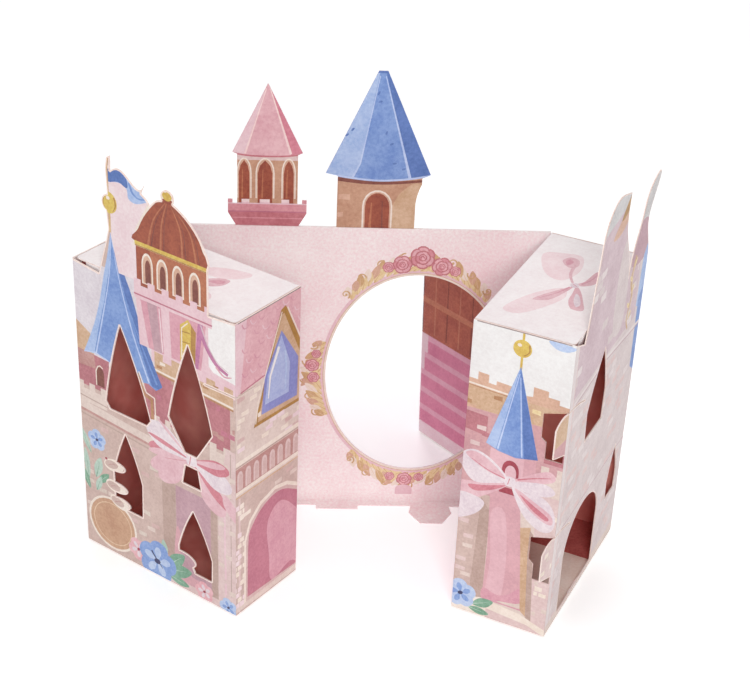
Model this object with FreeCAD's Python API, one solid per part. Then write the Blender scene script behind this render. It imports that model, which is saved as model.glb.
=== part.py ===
import FreeCAD, Part
import math
import os

# An opening gift castle in folded card, in millimetres.
# A flat back panel stands upright along X, with its front face at y = 0 and its foot on z = 0.
# Two tall cartons hang on its side edges like the leaves of a book and are swung towards the viewer (-Y).

# Sheets and running clearances
card = 0.6
mirror_thickness = 0.3
hinge_gap = 0.3
back_gap = 0.35
lid_gap = 0.6
fold_gap = 0.3
slit_width = 0.5
through = 80.0

# Back panel
panel_width = 224.0

# Foot strip of the front sheet, folded forward on the table
foot_depth = 4.5
foot_inset = 9.0
shallow_tab_centre = -1.0
shallow_tab_width = 25.0
shallow_tab_reach = 8.2
lock_tab_centre = 54.5
lock_tab_neck = 21.0
lock_tab_width = 25.5
lock_tab_nose = 13.0
lock_tab_belly = 11.0
lock_tab_reach = 21.5

# Mirror window in the front sheet
mirror_centre_x = 41.0
mirror_centre_z = 89.5
mirror_half_width = 51.0
mirror_half_height = 65.0
mirror_margin = 8.0

# Cartons
table_clearance = 0.4
carton_gap = 3.0
box_height = 182.0
left_depth = 51.8
right_depth = 54.4
left_open = 37.8
right_open = 62.5

# Lids and dust flaps
tuck_height = 13.0
tuck_lean = 8.0
tuck_inset = 7.0
lid_corner = 2.0
dust_flap_length = 32.0
dust_flap_taper = 7.0
dust_flap_front = 5.0

# Rose tower on the rear board
rose_centre = -43.9
rose_waist = 34.0
rose_balcony = 42.5
rose_balcony_foot = 7.5
rose_balcony_height = 5.5
rose_merlon = 2.5
rose_merlon_height = 2.5
rose_body = 32.5
rose_body_height = 42.0
rose_eave = 37.6
rose_eave_rise = 1.0
rose_tip_height = 82.4

# Blue tower on the rear board
blue_centre = 15.0
blue_body = 42.5
blue_body_height = 28.5
blue_eave = 55.5
blue_eave_height = 32.0
blue_tip = 4.8
blue_lean = 1.0
blue_tip_height = 90.8
blue_step = 3.0
blue_step_height = 15.0
blue_bracket = 6.0

# Left facade above the carton: a blue roof with ball and flag, and a domed turret
shoulder_dip = 3.0
roof_centre = 28.4
roof_foot = 19.5
roof_tip_height = 25.0
ball_radius = 5.3
ball_rise = 40.0
pole_width = 2.4
pole_height = 66.5
pole_bend = 1.6
flag_height = 58.0
flag_reach = 24.6
turret_centre = 67.5
turret_body = 51.0
turret_body_height = 24.0
turret_eave = 3.0
dome_width = 53.0
dome_height = 28.5
crown_width = 7.0
crown_height = 6.5

# Left facade windows: centre along the wall from its outer edge, sill height, foot, belly and height
gable_window = dict(centre=35.5, lean=-3.5, sill=97.5, foot=26.5, belly=32.0, belly_rise=4.0, rise=55.5)
garden_window = dict(centre=33.5, lean=-0.7, sill=34.5, foot=20.0, belly=21.0, belly_rise=22.0, rise=50.5)
tall_window = dict(centre=79.7, lean=-0.7, sill=92.0, foot=8.0, belly=29.8, belly_rise=18.0, rise=66.7)
low_window = dict(centre=81.8, lean=-1.2, sill=14.5, foot=23.0, belly=23.6, belly_rise=14.0, rise=41.2)
knot_window = dict(centre=80.0, sill=72.0, foot=13.0, head=8.5, rise=12.0)
garden_leaves = ((23.5, 60.5, 8.0, 3.4), (24.5, 46.5, 8.2, 3.4), (27.0, 37.0, 7.5, 3.4))
low_petals = ((72.0, 20.5, 10.0, 5.0), (74.5, 13.5, 7.0, 6.5))
corner_slit_z = 139.5
corner_slit_front = 20.5
corner_slit_side = 17.0

# Right facade: gate, windows, two curved spires and the tabs that lap over the left facade
gate_centre = 64.5
gate_width = 55.0
gate_sill = 3.0
gate_spring = 38.0
gate_rise = 23.5
upper_window = dict(centre=64.0, lean=-4.5, sill=107.0, foot=27.0, belly=29.5, belly_rise=18.0, rise=48.5)
side_window = dict(centre=14.9, lean=-0.5, sill=35.5, foot=15.0, belly=16.5, belly_rise=12.0, rise=33.5)
spire_centre = 72.0
spire_foot = 24.5
spire_body = 32.0
spire_body_height = 40.0
spire_top_height = 66.5
spire_tip_height = 62.5
spire_lean = 12.4
valley_centre = 32.5
valley_height = 1.0
side_spire_centre = 14.3
side_spire_neck = 12.5
side_spire_neck_height = 33.0
side_spire_tip_height = 53.0
side_spire_tip = 2.0
side_spire_lean = 9.4
corner_dip = 6.0
bend_start = 8.0
bend_radius = 400.0
bend_angle = 10.0
tab_hole_sills = (35.5, 112.5)
tab_hole_height = 30.5
tab_reach = 13.2
tab_foot_rise = 5.5
tab_foot_slope = 4.5
tab_shoulder = 3.8
tab_lean = 7.0
tab_slit = 25.0
tab_slit_drop = 6.0
floor_slot_start = 53.0
floor_slot_length = 17.0
floor_slot_width = 1.2

# Heights and planes that follow from the sizes above
box_lift = card + table_clearance
box_width = (panel_width - carton_gap) / 2
panel_height = box_lift + box_height
wall_top = box_height - card - fold_gap
rear_board_front = card + mirror_thickness
board_half = panel_width / 2 - hinge_gap


def at(u, z, y=0.0):
    """A point of an upright sheet that faces -Y."""
    return FreeCAD.Vector(u, y, z)


def outline(start, *steps):
    """A closed upright outline. A step is one point for a line, two for an arc, more for a curve."""
    edges = []
    here = start
    for step in steps + (((start),),):
        if here == step[-1]:
            continue
        if len(step) == 1:
            edges.append(Part.LineSegment(at(*here), at(*step[0])).toShape())
        elif len(step) == 2:
            edges.append(Part.Arc(at(*here), at(*step[0]), at(*step[1])).toShape())
        else:
            curve = Part.BSplineCurve()
            curve.interpolate([at(*here)] + [at(*point) for point in step])
            edges.append(curve.toShape())
        here = step[-1]
    return Part.Face(Part.Wire(edges))


def sheet(face, front, thickness=card):
    """An upright face made a sheet, from y = front backwards."""
    face.translate(FreeCAD.Vector(0, front, 0))
    return face.extrude(FreeCAD.Vector(0, thickness, 0))


def cutter(face):
    """An upright face made a prism long enough to cut through any wall near it."""
    face.translate(FreeCAD.Vector(0, -through, 0))
    return face.extrude(FreeCAD.Vector(0, 2 * through, 0))


def box(x0, x1, y0, y1, z0, z1):
    return Part.makeBox(x1 - x0, y1 - y0, z1 - z0, FreeCAD.Vector(x0, y0, z0))


def ellipse(centre_u, centre_z, half_u, half_z):
    """A face bounded by an upright ellipse of any proportion."""
    circle = Part.Circle(at(0, 0), FreeCAD.Vector(0, -1, 0), 1.0).toShape()
    face = Part.Face(Part.Wire([circle]))
    stretch = FreeCAD.Matrix()
    stretch.scale(half_u, 1.0, half_z)
    face = face.transformGeometry(stretch)
    face.translate(at(centre_u, centre_z))
    return face


def spear(centre, lean, sill, foot, belly, belly_rise, rise):
    """A pointed window: widest at its belly, drawn in to the sill and curved up to a point."""
    tip = (centre + lean, sill + rise)
    mid = centre + lean * 0.45
    mid_z = sill + belly_rise + (rise - belly_rise) * 0.5
    swell = belly * 0.29
    left = (centre - belly / 2, sill + belly_rise)
    right = (centre + belly / 2, sill + belly_rise)
    return outline(
        (centre - foot / 2, sill),
        (left,),
        ((mid - swell, mid_z), tip),
        ((mid + swell, mid_z), right),
        ((centre + foot / 2, sill),),
    )


def carton_walls(depth, facade):
    """Four walls and the floor round the facade. The back wall's outer face is at y = -back_gap."""
    back = -back_gap
    front = back - depth
    outer = box(0, card, front, back, 0, box_height)
    inner = box(box_width - card, box_width, front, back, 0, box_height)
    rear = box(0, box_width, back - card, back, 0, wall_top)
    floor = box(0, box_width, front, back, 0, card)
    return facade.multiFuse([outer, inner, rear, floor])


def dust_flap(depth):
    """The flap on the outer wall that lies under the lid, drawn in towards its free edge."""
    top = box_height - card - fold_gap
    rear = -back_gap - card - fold_gap
    front = -back_gap - depth + dust_flap_front
    corners = [
        (0, rear),
        (dust_flap_length, rear - dust_flap_taper),
        (dust_flap_length, front + dust_flap_taper),
        (0, front),
    ]
    points = [FreeCAD.Vector(x, y, top - card) for x, y in corners]
    plate = Part.Face(Part.makePolygon(points + points[:1]))
    return plate.extrude(FreeCAD.Vector(0, 0, card))


def dust_flaps(depth):
    near = dust_flap(depth)
    far = dust_flap(depth).mirror(FreeCAD.Vector(box_width / 2, 0, 0), FreeCAD.Vector(1, 0, 0))
    return [near, far]


def lid(depth):
    """The top plate between the side walls, with its tuck flap behind the facade."""
    left = card + lid_gap
    right = box_width - card - lid_gap
    back = -back_gap
    front = -back_gap - depth + card + lid_gap
    plate = box(left, right, front, back, box_height - card, box_height)
    corners = [
        edge
        for edge in plate.Edges
        if all(abs(v.Y - front) < 0.01 for v in edge.Vertexes)
        and abs(edge.Vertexes[0].Z - edge.Vertexes[1].Z) > card / 2
    ]
    plate = plate.makeFillet(lid_corner, corners)
    tuck = box(
        left + tuck_inset,
        right - tuck_inset,
        front,
        front + card,
        box_height - card - tuck_height,
        box_height - card / 2,
    )
    fold = FreeCAD.Vector(0, front, box_height)
    tuck.rotate(fold, FreeCAD.Vector(1, 0, 0), tuck_lean)
    below = box(0, box_width, front - card, front + depth, box_height - 3 * tuck_height, box_height)
    return plate.fuse(tuck.common(below)).removeSplitter()


def left_facade_outline():
    """Wall, then round the top: domed turret, swallow-tailed flag, pole, ball and roof."""
    top = box_height
    roof_tip = top + roof_tip_height
    ball_z = top + ball_rise
    neck = ball_radius * 0.45
    neck_z = ball_radius * 0.88
    pole = roof_centre - pole_width / 2
    pole_tip = top + pole_height
    flag_top = top + flag_height
    flag_end = roof_centre + flag_reach
    tail = flag_reach * 0.12
    drop = flag_height - turret_body_height - dome_height * 0.8
    turret_right = turret_centre + turret_body / 2
    eave_z = top + turret_body_height
    dome_right = turret_centre + dome_width / 2
    dome_top = eave_z + dome_height
    crown = crown_width / 2
    return outline(
        (0, 0),
        ((box_width, 0),),
        ((box_width, top),),
        ((turret_right, top - shoulder_dip * 0.5),),
        ((turret_right, eave_z),),
        ((dome_right, eave_z + turret_eave),),
        ((turret_centre + dome_width * 0.33, eave_z + dome_height * 0.66), (turret_centre + crown, dome_top)),
        ((turret_centre, dome_top + crown_height), (turret_centre - crown, dome_top)),
        ((turret_centre - dome_width * 0.14, dome_top - crown_height * 0.2), (flag_end + tail, flag_top - drop)),
        ((flag_end + tail * 0.2, flag_top - drop * 0.74),),
        ((flag_end - tail, flag_top - drop * 0.54),),
        ((flag_end - tail * 0.2, flag_top - drop * 0.1),),
        (
            (flag_end - flag_reach * 0.2, flag_top - drop * 0.41),
            (flag_end - flag_reach * 0.41, flag_top - drop * 0.14),
            (flag_end - flag_reach * 0.61, flag_top + drop * 0.18),
            (roof_centre + pole_width / 2, flag_top),
        ),
        ((roof_centre + pole_bend, pole_tip),),
        ((roof_centre - pole_width * 0.3, pole_tip - pole_width * 0.6),),
        ((pole - pole_width * 0.25, pole_tip - pole_width * 3),),
        ((pole, ball_z + ball_radius * 0.9),),
        ((roof_centre - ball_radius, ball_z), (roof_centre - neck, ball_z - neck_z)),
        ((roof_centre - neck * 0.6, roof_tip),),
        ((roof_centre - roof_foot / 2, top - shoulder_dip),),
        ((0, top - shoulder_dip * 0.3),),
    )


def knot_opening():
    """The four-sided opening under the bow's knot."""
    w = knot_window
    top = w["sill"] + w["rise"]
    return outline(
        (w["centre"] - w["foot"] / 2, w["sill"]),
        ((w["centre"] + w["foot"] / 2, w["sill"]),),
        ((w["centre"] + w["head"] / 2, top),),
        ((w["centre"] - w["head"] / 2, top),),
    )


def left_facade(front):
    """The left front wall with its cut windows. Leaves and petals stand into two of them."""
    wall = sheet(left_facade_outline(), front)
    garden = cutter(spear(**garden_window))
    garden = garden.cut([cutter(ellipse(*leaf)) for leaf in garden_leaves])
    low = cutter(spear(**low_window))
    low = low.cut([cutter(ellipse(*petal)) for petal in low_petals])
    plain = [cutter(spear(**w)) for w in (gable_window, tall_window)]
    return wall.cut(plain + [garden, low, cutter(knot_opening())])


def corner_slit(front):
    """The slit that runs round the inner front corner of the left carton."""
    low = corner_slit_z
    high = corner_slit_z + slit_width
    across = box(box_width - corner_slit_front, box_width + card, front - card, front + 2 * card, low, high)
    along = box(box_width - 2 * card, box_width + card, front, front + corner_slit_side, low, high)
    return across.fuse(along)


def left_carton():
    front = -back_gap - left_depth
    body = carton_walls(left_depth, left_facade(front))
    body = body.multiFuse(dust_flaps(left_depth)).removeSplitter()
    return body.cut(corner_slit(front))


def curved_wall(front, height):
    """A wall that stands straight up to bend_start above the carton, then curls outwards."""
    bend_z = box_height + bend_start
    centre_y = front - bend_radius
    inside = front + card

    def arc_points(radius):
        turns = (0.0, math.radians(bend_angle) / 2, math.radians(bend_angle))
        return [
            FreeCAD.Vector(0, centre_y + radius * math.cos(a), bend_z + radius * math.sin(a))
            for a in turns
        ]

    outer = arc_points(bend_radius)
    inner = arc_points(bend_radius + card)
    edges = [
        Part.LineSegment(FreeCAD.Vector(0, front, 0), outer[0]).toShape(),
        Part.Arc(*outer).toShape(),
        Part.LineSegment(outer[2], inner[2]).toShape(),
        Part.Arc(*reversed(inner)).toShape(),
        Part.LineSegment(inner[0], FreeCAD.Vector(0, inside, 0)).toShape(),
        Part.LineSegment(FreeCAD.Vector(0, inside, 0), FreeCAD.Vector(0, front, 0)).toShape(),
    ]
    return Part.Face(Part.Wire(edges)).extrude(FreeCAD.Vector(height, 0, 0))


def right_facade_outline():
    """Wall with a broad spire in its middle and a slender one beside it, both leaning outwards."""
    top = box_height
    body = spire_body / 2
    body_z = top + spire_body_height
    tip = (spire_centre - spire_lean, top + spire_tip_height)
    neck = side_spire_neck / 2
    neck_z = top + side_spire_neck_height
    side_tip = (side_spire_centre - side_spire_lean, top + side_spire_tip_height)
    return outline(
        (0, 0),
        ((box_width, 0),),
        ((box_width, top),),
        ((spire_centre + spire_foot, top - corner_dip),),
        (
            (spire_centre + body * 1.18, top + spire_body_height * 0.4),
            (spire_centre + body * 1.12, body_z),
            (spire_centre + body * 1.18, top + spire_top_height * 0.87),
            (spire_centre + body * 0.85, top + spire_top_height),
            (spire_centre - body * 0.2, top + spire_top_height * 0.985),
            tip,
        ),
        (
            (spire_centre - body, body_z + spire_tip_height * 0.19),
            (spire_centre - body * 1.31, body_z),
            (spire_centre - body * 1.92, top + spire_body_height * 0.6),
            (valley_centre, top + valley_height),
        ),
        (
            (side_spire_centre + neck * 1.75, top + side_spire_neck_height * 0.65),
            (side_spire_centre + neck, neck_z),
            (side_spire_centre + neck * 0.7, neck_z + side_spire_neck_height * 0.36),
            (side_spire_centre, neck_z + side_spire_neck_height * 0.51),
            side_tip,
        ),
        ((side_tip[0] - side_spire_tip, side_tip[1] - side_spire_tip),),
        (
            (side_spire_centre - neck * 1.65, neck_z + side_spire_neck_height * 0.3),
            (side_spire_centre - neck * 0.8, neck_z - side_spire_neck_height * 0.12),
            (side_spire_centre - neck * 2.0, top + side_spire_neck_height * 0.25),
            (0, top),
        ),
    )


def gate():
    """The round-headed gate at the foot of the right facade."""
    left = gate_centre - gate_width / 2
    right = gate_centre + gate_width / 2
    head = ellipse(gate_centre, gate_spring, gate_width / 2, gate_rise)
    jambs = outline((left, gate_sill), ((right, gate_sill),), ((right, gate_spring),), ((left, gate_spring),))
    return cutter(jambs).fuse(cutter(head))


def tab_outline(fold, sill):
    """A tab past a corner fold: a rising foot, an upright free edge and a top rounded back to the fold."""
    top = sill + tab_hole_height
    foot = sill + tab_foot_rise
    free = fold + tab_reach
    return outline(
        (fold, foot),
        ((free, foot + tab_foot_slope),),
        ((free, top - tab_shoulder),),
        ((fold + tab_reach * 0.75, top - tab_shoulder * 0.3), (fold, top)),
    )


def tab(front, sill):
    """A tab that goes on past the corner in the plane of the facade, leaning back a little."""
    plate = sheet(tab_outline(box_width, sill), front)
    plate.rotate(FreeCAD.Vector(box_width, front, 0), FreeCAD.Vector(0, 0, 1), tab_lean)
    return plate


def tab_hole(front, sill):
    """The hole that a tab leaves in the side wall, with the slit that frees it from the facade."""
    top = sill + tab_hole_height
    hole = outline(
        (0, sill),
        ((tab_reach * 0.78, sill),),
        ((tab_reach * 0.78, sill + tab_foot_rise + tab_foot_slope),),
        ((tab_reach, sill + tab_foot_rise + 1.5 * tab_foot_slope),),
        ((tab_reach, top - tab_shoulder),),
        ((0, top),),
    )
    prism = cutter(hole)
    prism.rotate(FreeCAD.Vector(0, 0, 0), FreeCAD.Vector(0, 0, 1), 90)
    prism.translate(FreeCAD.Vector(box_width, front, 0))
    side = box(box_width - 2 * card, box_width + card, front + card, 0, 0, box_height)
    slit = outline(
        (box_width, top),
        ((box_width - tab_slit * 0.5, top - tab_slit_drop * 0.3), (box_width - tab_slit, top - tab_slit_drop)),
        ((box_width - tab_slit, top - tab_slit_drop + slit_width),),
        (
            (box_width - tab_slit * 0.5, top - tab_slit_drop * 0.3 + slit_width),
            (box_width, top + slit_width),
        ),
    )
    wall = box(0, box_width, front - card, front + 2 * card, 0, box_height)
    return [prism.common(side), cutter(slit).common(wall)]


def floor_slot(front):
    """The slot in the floor just behind the foot of the gate."""
    end = floor_slot_start + floor_slot_length
    return box(floor_slot_start, end, front + card, front + card + floor_slot_width, -card, 2 * card)


def right_carton():
    front = -back_gap - right_depth
    facade = curved_wall(front, box_width).common(cutter_range(right_facade_outline(), front))
    openings = [cutter(spear(**upper_window)), cutter(spear(**side_window)), gate()]
    near = box(-card, box_width + card, front - card, front + 2 * card, -card, box_height)
    facade = facade.cut([opening.common(near) for opening in openings])
    body = carton_walls(right_depth, facade)
    body = body.multiFuse(dust_flaps(right_depth))
    for sill in tab_hole_sills:
        body = body.cut(tab_hole(front, sill))
    body = body.cut(floor_slot(front))
    body = body.multiFuse([tab(front, sill) for sill in tab_hole_sills]).removeSplitter()
    return body.mirror(FreeCAD.Vector(0, 0, 0), FreeCAD.Vector(1, 0, 0))


def cutter_range(face, front):
    """An upright face made a prism that holds the whole curl of the wall at y = front."""
    face.translate(FreeCAD.Vector(0, front - through, 0))
    return face.extrude(FreeCAD.Vector(0, through + 2 * card, 0))


def rose_tower_outline():
    """Balcony with end merlons, round body and a plain pointed roof."""
    base = panel_height
    balcony_low = base + rose_balcony_foot
    balcony_top = balcony_low + rose_balcony_height
    merlon_top = balcony_top + rose_merlon_height
    body_top = base + rose_body_height
    right = (
        (rose_waist / 2, base),
        (rose_balcony / 2, balcony_low),
        (rose_balcony / 2, merlon_top),
        (rose_balcony / 2 - rose_merlon, merlon_top),
        (rose_balcony / 2 - rose_merlon, balcony_top),
        (rose_body / 2, balcony_top),
        (rose_body / 2, body_top),
        (rose_eave / 2, body_top + rose_eave_rise),
    )
    points = [(rose_centre + u, z) for u, z in right]
    points.append((rose_centre, base + rose_tip_height))
    points += [(rose_centre - u, z) for u, z in reversed(right)]
    return outline(points[0], *[(point,) for point in points[1:]])


def blue_tower_outline():
    """Broad body with a small bracket on its right, and a wide flared roof."""
    base = panel_height
    left = blue_centre - blue_body / 2
    right = blue_centre + blue_body / 2
    eave_z = base + blue_eave_height
    body_top = base + blue_body_height
    eave_left = blue_centre - blue_eave / 2
    eave_right = blue_centre + blue_eave / 2 + blue_lean
    tip_z = base + blue_tip_height
    return outline(
        (left, base),
        ((right, base),),
        ((right, base + blue_step_height),),
        (
            (right + blue_step * 0.5, body_top - blue_bracket),
            (right + blue_step, body_top - blue_bracket * 0.33),
        ),
        ((right + blue_step, body_top + blue_bracket * 0.25),),
        ((eave_right, eave_z),),
        ((blue_centre + blue_tip / 2 + blue_lean, tip_z),),
        ((blue_centre - blue_tip / 2 + blue_lean, tip_z),),
        ((eave_left, eave_z),),
        ((left, body_top + blue_bracket * 0.33),),
    )


def tower(silhouette):
    """A tower's silhouette in the plane of the rear board."""
    return sheet(silhouette, rear_board_front)


def rear_board():
    board = box(-board_half, board_half, rear_board_front, rear_board_front + card, 0, panel_height)
    return board.multiFuse([tower(rose_tower_outline()), tower(blue_tower_outline())]).removeSplitter()


def flat_outline(points):
    """A closed flat outline on the table, from (x, y) corners."""
    corners = [FreeCAD.Vector(x, y, 0) for x, y in points]
    return Part.Face(Part.makePolygon(corners + corners[:1]))


def foot_strip():
    """The bottom edge of the front sheet, folded forward, with its shallow tab and its lock tab."""
    half = panel_width / 2 - foot_inset
    slope = foot_depth
    strip = flat_outline([(-half, 0), (-half + slope, -foot_depth), (half - slope, -foot_depth), (half, 0)])
    low = shallow_tab_centre - shallow_tab_width / 2
    high = shallow_tab_centre + shallow_tab_width / 2
    shallow = flat_outline([(low, 0), (low, -shallow_tab_reach), (high, -shallow_tab_reach), (high, 0)])
    c = lock_tab_centre
    lock = flat_outline(
        [
            (c - lock_tab_neck / 2, 0),
            (c - lock_tab_width / 2, -lock_tab_belly),
            (c - lock_tab_nose / 2, -lock_tab_reach),
            (c + lock_tab_nose / 2, -lock_tab_reach),
            (c + lock_tab_width / 2, -lock_tab_belly),
            (c + lock_tab_neck / 2, 0),
        ]
    )
    up = FreeCAD.Vector(0, 0, card)
    return [face.extrude(up) for face in (strip, shallow, lock)]


def front_sheet():
    """The pale front sheet of the panel, with the oval window and the folded foot."""
    board = box(-board_half, board_half, 0, card, 0, panel_height)
    window = cutter(ellipse(mirror_centre_x, mirror_centre_z, mirror_half_width, mirror_half_height))
    return board.cut(window).multiFuse(foot_strip()).removeSplitter()


def mirror():
    """The mirror foil between the two boards, a margin larger than its window."""
    half_w = mirror_half_width + mirror_margin
    half_h = mirror_half_height + mirror_margin
    return box(
        mirror_centre_x - half_w,
        mirror_centre_x + half_w,
        card,
        card + mirror_thickness,
        mirror_centre_z - half_h,
        mirror_centre_z + half_h,
    )


def swing(shape, side):
    """Puts a closed carton piece on its side of the panel and swings it open."""
    hinge = FreeCAD.Vector(side * panel_width / 2, 0, box_lift)
    angle = right_open if side > 0 else -left_open
    shape.rotate(FreeCAD.Vector(0, 0, 0), FreeCAD.Vector(0, 0, 1), angle)
    shape.translate(hinge)
    return shape


def right_lid():
    return lid(right_depth).mirror(FreeCAD.Vector(0, 0, 0), FreeCAD.Vector(1, 0, 0))


pieces = {
    "rear_board": rear_board(),
    "mirror_sheet": mirror(),
    "front_sheet": front_sheet(),
    "left_carton": swing(left_carton(), -1),
    "left_lid": swing(lid(left_depth), -1),
    "right_carton": swing(right_carton(), 1),
    "right_lid": swing(right_lid(), 1),
}

os.makedirs("parts", exist_ok=True)
for name, shape in pieces.items():
    shape.exportStep("parts/" + name + ".step")
    print(name, shape.isValid(), len(shape.Solids), round(shape.Volume, 1))
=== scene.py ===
import math
import random

import bpy
from mathutils import Matrix, Vector
from mathutils.geometry import delaunay_2d_cdt


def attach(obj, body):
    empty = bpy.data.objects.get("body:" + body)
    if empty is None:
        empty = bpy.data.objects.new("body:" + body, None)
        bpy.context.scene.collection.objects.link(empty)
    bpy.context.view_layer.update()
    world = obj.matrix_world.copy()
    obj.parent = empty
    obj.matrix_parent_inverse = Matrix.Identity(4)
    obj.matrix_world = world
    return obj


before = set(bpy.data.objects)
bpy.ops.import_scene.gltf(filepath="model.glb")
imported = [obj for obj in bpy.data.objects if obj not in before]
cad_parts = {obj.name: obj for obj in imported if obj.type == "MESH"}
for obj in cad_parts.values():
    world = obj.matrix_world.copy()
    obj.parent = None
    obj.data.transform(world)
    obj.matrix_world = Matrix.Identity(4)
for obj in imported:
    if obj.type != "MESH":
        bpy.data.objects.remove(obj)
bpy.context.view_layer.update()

print("frame loaded")

# sizes of the folded card in mm, as the solids have them
card = {
    "panelHalf": 112.0,
    "width": 110.5,
    "height": 182.0,
    "lift": 1.0,
    "backGap": 0.35,
    "thickness": 0.6,
    "depth": {"left": 51.8, "right": 54.4},
    "swing": {"left": -37.8, "right": 62.5},
    "curlStart": 190.0,
    "curlRadius": 400.0,
    "tabLean": 7.0,
    "inkHeight": 0.05,
    "curlInkHeight": 0.12,
    "towerFront": 0.9,
    "panelTop": 183.0,
}


def linear(hexColour):
    # sRGB hex to linear RGBA
    channels = [int(hexColour[i:i + 2], 16) / 255 for i in (1, 3, 5)]
    return [c / 12.92 if c <= 0.04045 else ((c + 0.055) / 1.055) ** 2.4 for c in channels] + [1.0]


def addNode(tree, kind, values=None, links=None, **settings):
    node = tree.nodes.new(kind)
    for key, value in settings.items():
        setattr(node, key, value)
    for key, value in (values or {}).items():
        node.inputs[key].default_value = value
    for key, source in (links or {}).items():
        tree.links.new(source, node.inputs[key])
    return node


def newMaterial(name):
    material = bpy.data.materials.new(name)
    material.use_nodes = True
    material.node_tree.nodes.clear()
    return material, material.node_tree


# Ink on matt-varnished board: a pale and a deep wash of each colour, mottled as watercolour is
inks = {
    "roof": ("#8ba6d9", "#6888c8"),
    "roofPale": ("#b6c8ea", "#97b0de"),
    "roofDark": ("#6582c2", "#4f6dac"),
    "roofLine": ("#c6d3f1", "#aebfe8"),
    "wall": ("#d6bcb3", "#c4a79e"),
    "wallPale": ("#e7d5cc", "#d8c2b9"),
    "wallShade": ("#c6aaa0", "#b3968b"),
    "wallRose": ("#e5cdca", "#d8bab8"),
    "brick": ("#e3d4ca", "#cfbcb0"),
    "brickRose": ("#dcc0bb", "#cfaaa6"),
    "roseWall": ("#c48088", "#ae6a72"),
    "roseDust": ("#d6a6a8", "#c69398"),
    "roseBrown": ("#c99d96", "#b6827d"),
    "tan": ("#dab99c", "#c79f7e"),
    "tanDark": ("#c0906b", "#a9764f"),
    "brown": ("#8f5447", "#763f36"),
    "blush": ("#fbf5f3", "#f6e4e4"),
    "blushDeep": ("#f5e3e2", "#eed0d2"),
    "shaft": ("#dfadb4", "#d09da5"),
    "shaftPale": ("#e6bbc2", "#daabb3"),
    "balcony": ("#e0a0a8", "#cf8790"),
    "balconyDeep": ("#cf848c", "#bb6a74"),
    "towerTan": ("#cfa388", "#bc8b70"),
    "pinkMist": ("#f1dfe1", "#e8cdd2"),
    "pinkPale": ("#ecced3", "#e2bbc4"),
    "pink": ("#dfa9b4", "#d090a0"),
    "pinkDeep": ("#c97f90", "#b96d80"),
    "magenta": ("#c884a8", "#b36c92"),
    "mauve": ("#dac3c9", "#c9adb5"),
    "mauveDeep": ("#c9a3ac", "#b78f99"),
    "mauveGrey": ("#e2d3d2", "#d2c0c0"),
    "mauvePale": ("#eadedd", "#dfcfcf"),
    "tipGrey": ("#d9d5d5", "#c4bfbf"),
    "bowPale": ("#efe2e5", "#dccad2"),
    "bow": ("#e9c4ca", "#dbabb4"),
    "bowDeep": ("#d98d98", "#c77380"),
    "gold": ("#e2c869", "#cba347"),
    "goldDark": ("#bd8f4c", "#a3763c"),
    "goldPale": ("#eedbb0", "#dfc18c"),
    "bronze": ("#d9b88c", "#c79c6e"),
    "disc": ("#d1a88a", "#be9074"),
    "discLine": ("#e6ccb0", "#d8b493"),
    "gate": ("#c96e52", "#a9503e"),
    "gatePale": ("#d98a6a", "#c17355"),
    "gateLine": ("#8f4536", "#7a372c"),
    "drape": ("#ea93b2", "#d87a9c"),
    "drapePale": ("#f2bccf", "#e6a3bc"),
    "lilacRose": ("#fae3ea", "#f2cfda"),
    # painted shadow: the dark line of the gap under the lids' edges
    "seam": ("#a89694", "#8f7d7c"),
    "sky": ("#f6f2f1", "#ebe5e4"),
    "skyGrey": ("#f0eeed", "#e6e2e1"),
    "lilacMist": ("#e6dee3", "#d5cad2"),
    "lilac": ("#bcc6e6", "#a2aedb"),
    "violet": ("#959ad2", "#8287c4"),
    "leaf": ("#8fb79d", "#6c987e"),
    "leafPale": ("#c3d5c8", "#a9c2b3"),
    "petalBlue": ("#c8d5ee", "#a6bbe2"),
    "petalBlueDeep": ("#97b0e0", "#7593cf"),
    "petalPink": ("#efc6ca", "#e0a3ac"),
    "ink": ("#4a4a70", "#34365c"),
    "chestnut": ("#aa5a40", "#8c4232"),
    "chestnutPale": ("#c07a58", "#aa6247"),
    "darkRed": ("#b04a58", "#963746"),
    "cream": ("#f4e7dc", "#e8d7c9"),
    "peach": ("#dfb79f", "#cc9f88"),
    "lidWhite": ("#fbf4f4", "#f4e9ea"),
    "lidPink": ("#f6e2e4", "#efd3d7"),
    "roofPink": ("#e8bcc1", "#d9a0aa"),
    "roofPinkDeep": ("#db8f9d", "#cb7487"),
    "roofPinkLine": ("#f7dcda", "#eecbc9"),
    # painted highlight along the cut edges
    "rim": ("#fbeae3", "#f3d9ce"),
    "russet": ("#c9706a", "#ac5450"),
    "bareCard": ("#f8e9de", "#edd9cb"),
}


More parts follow.
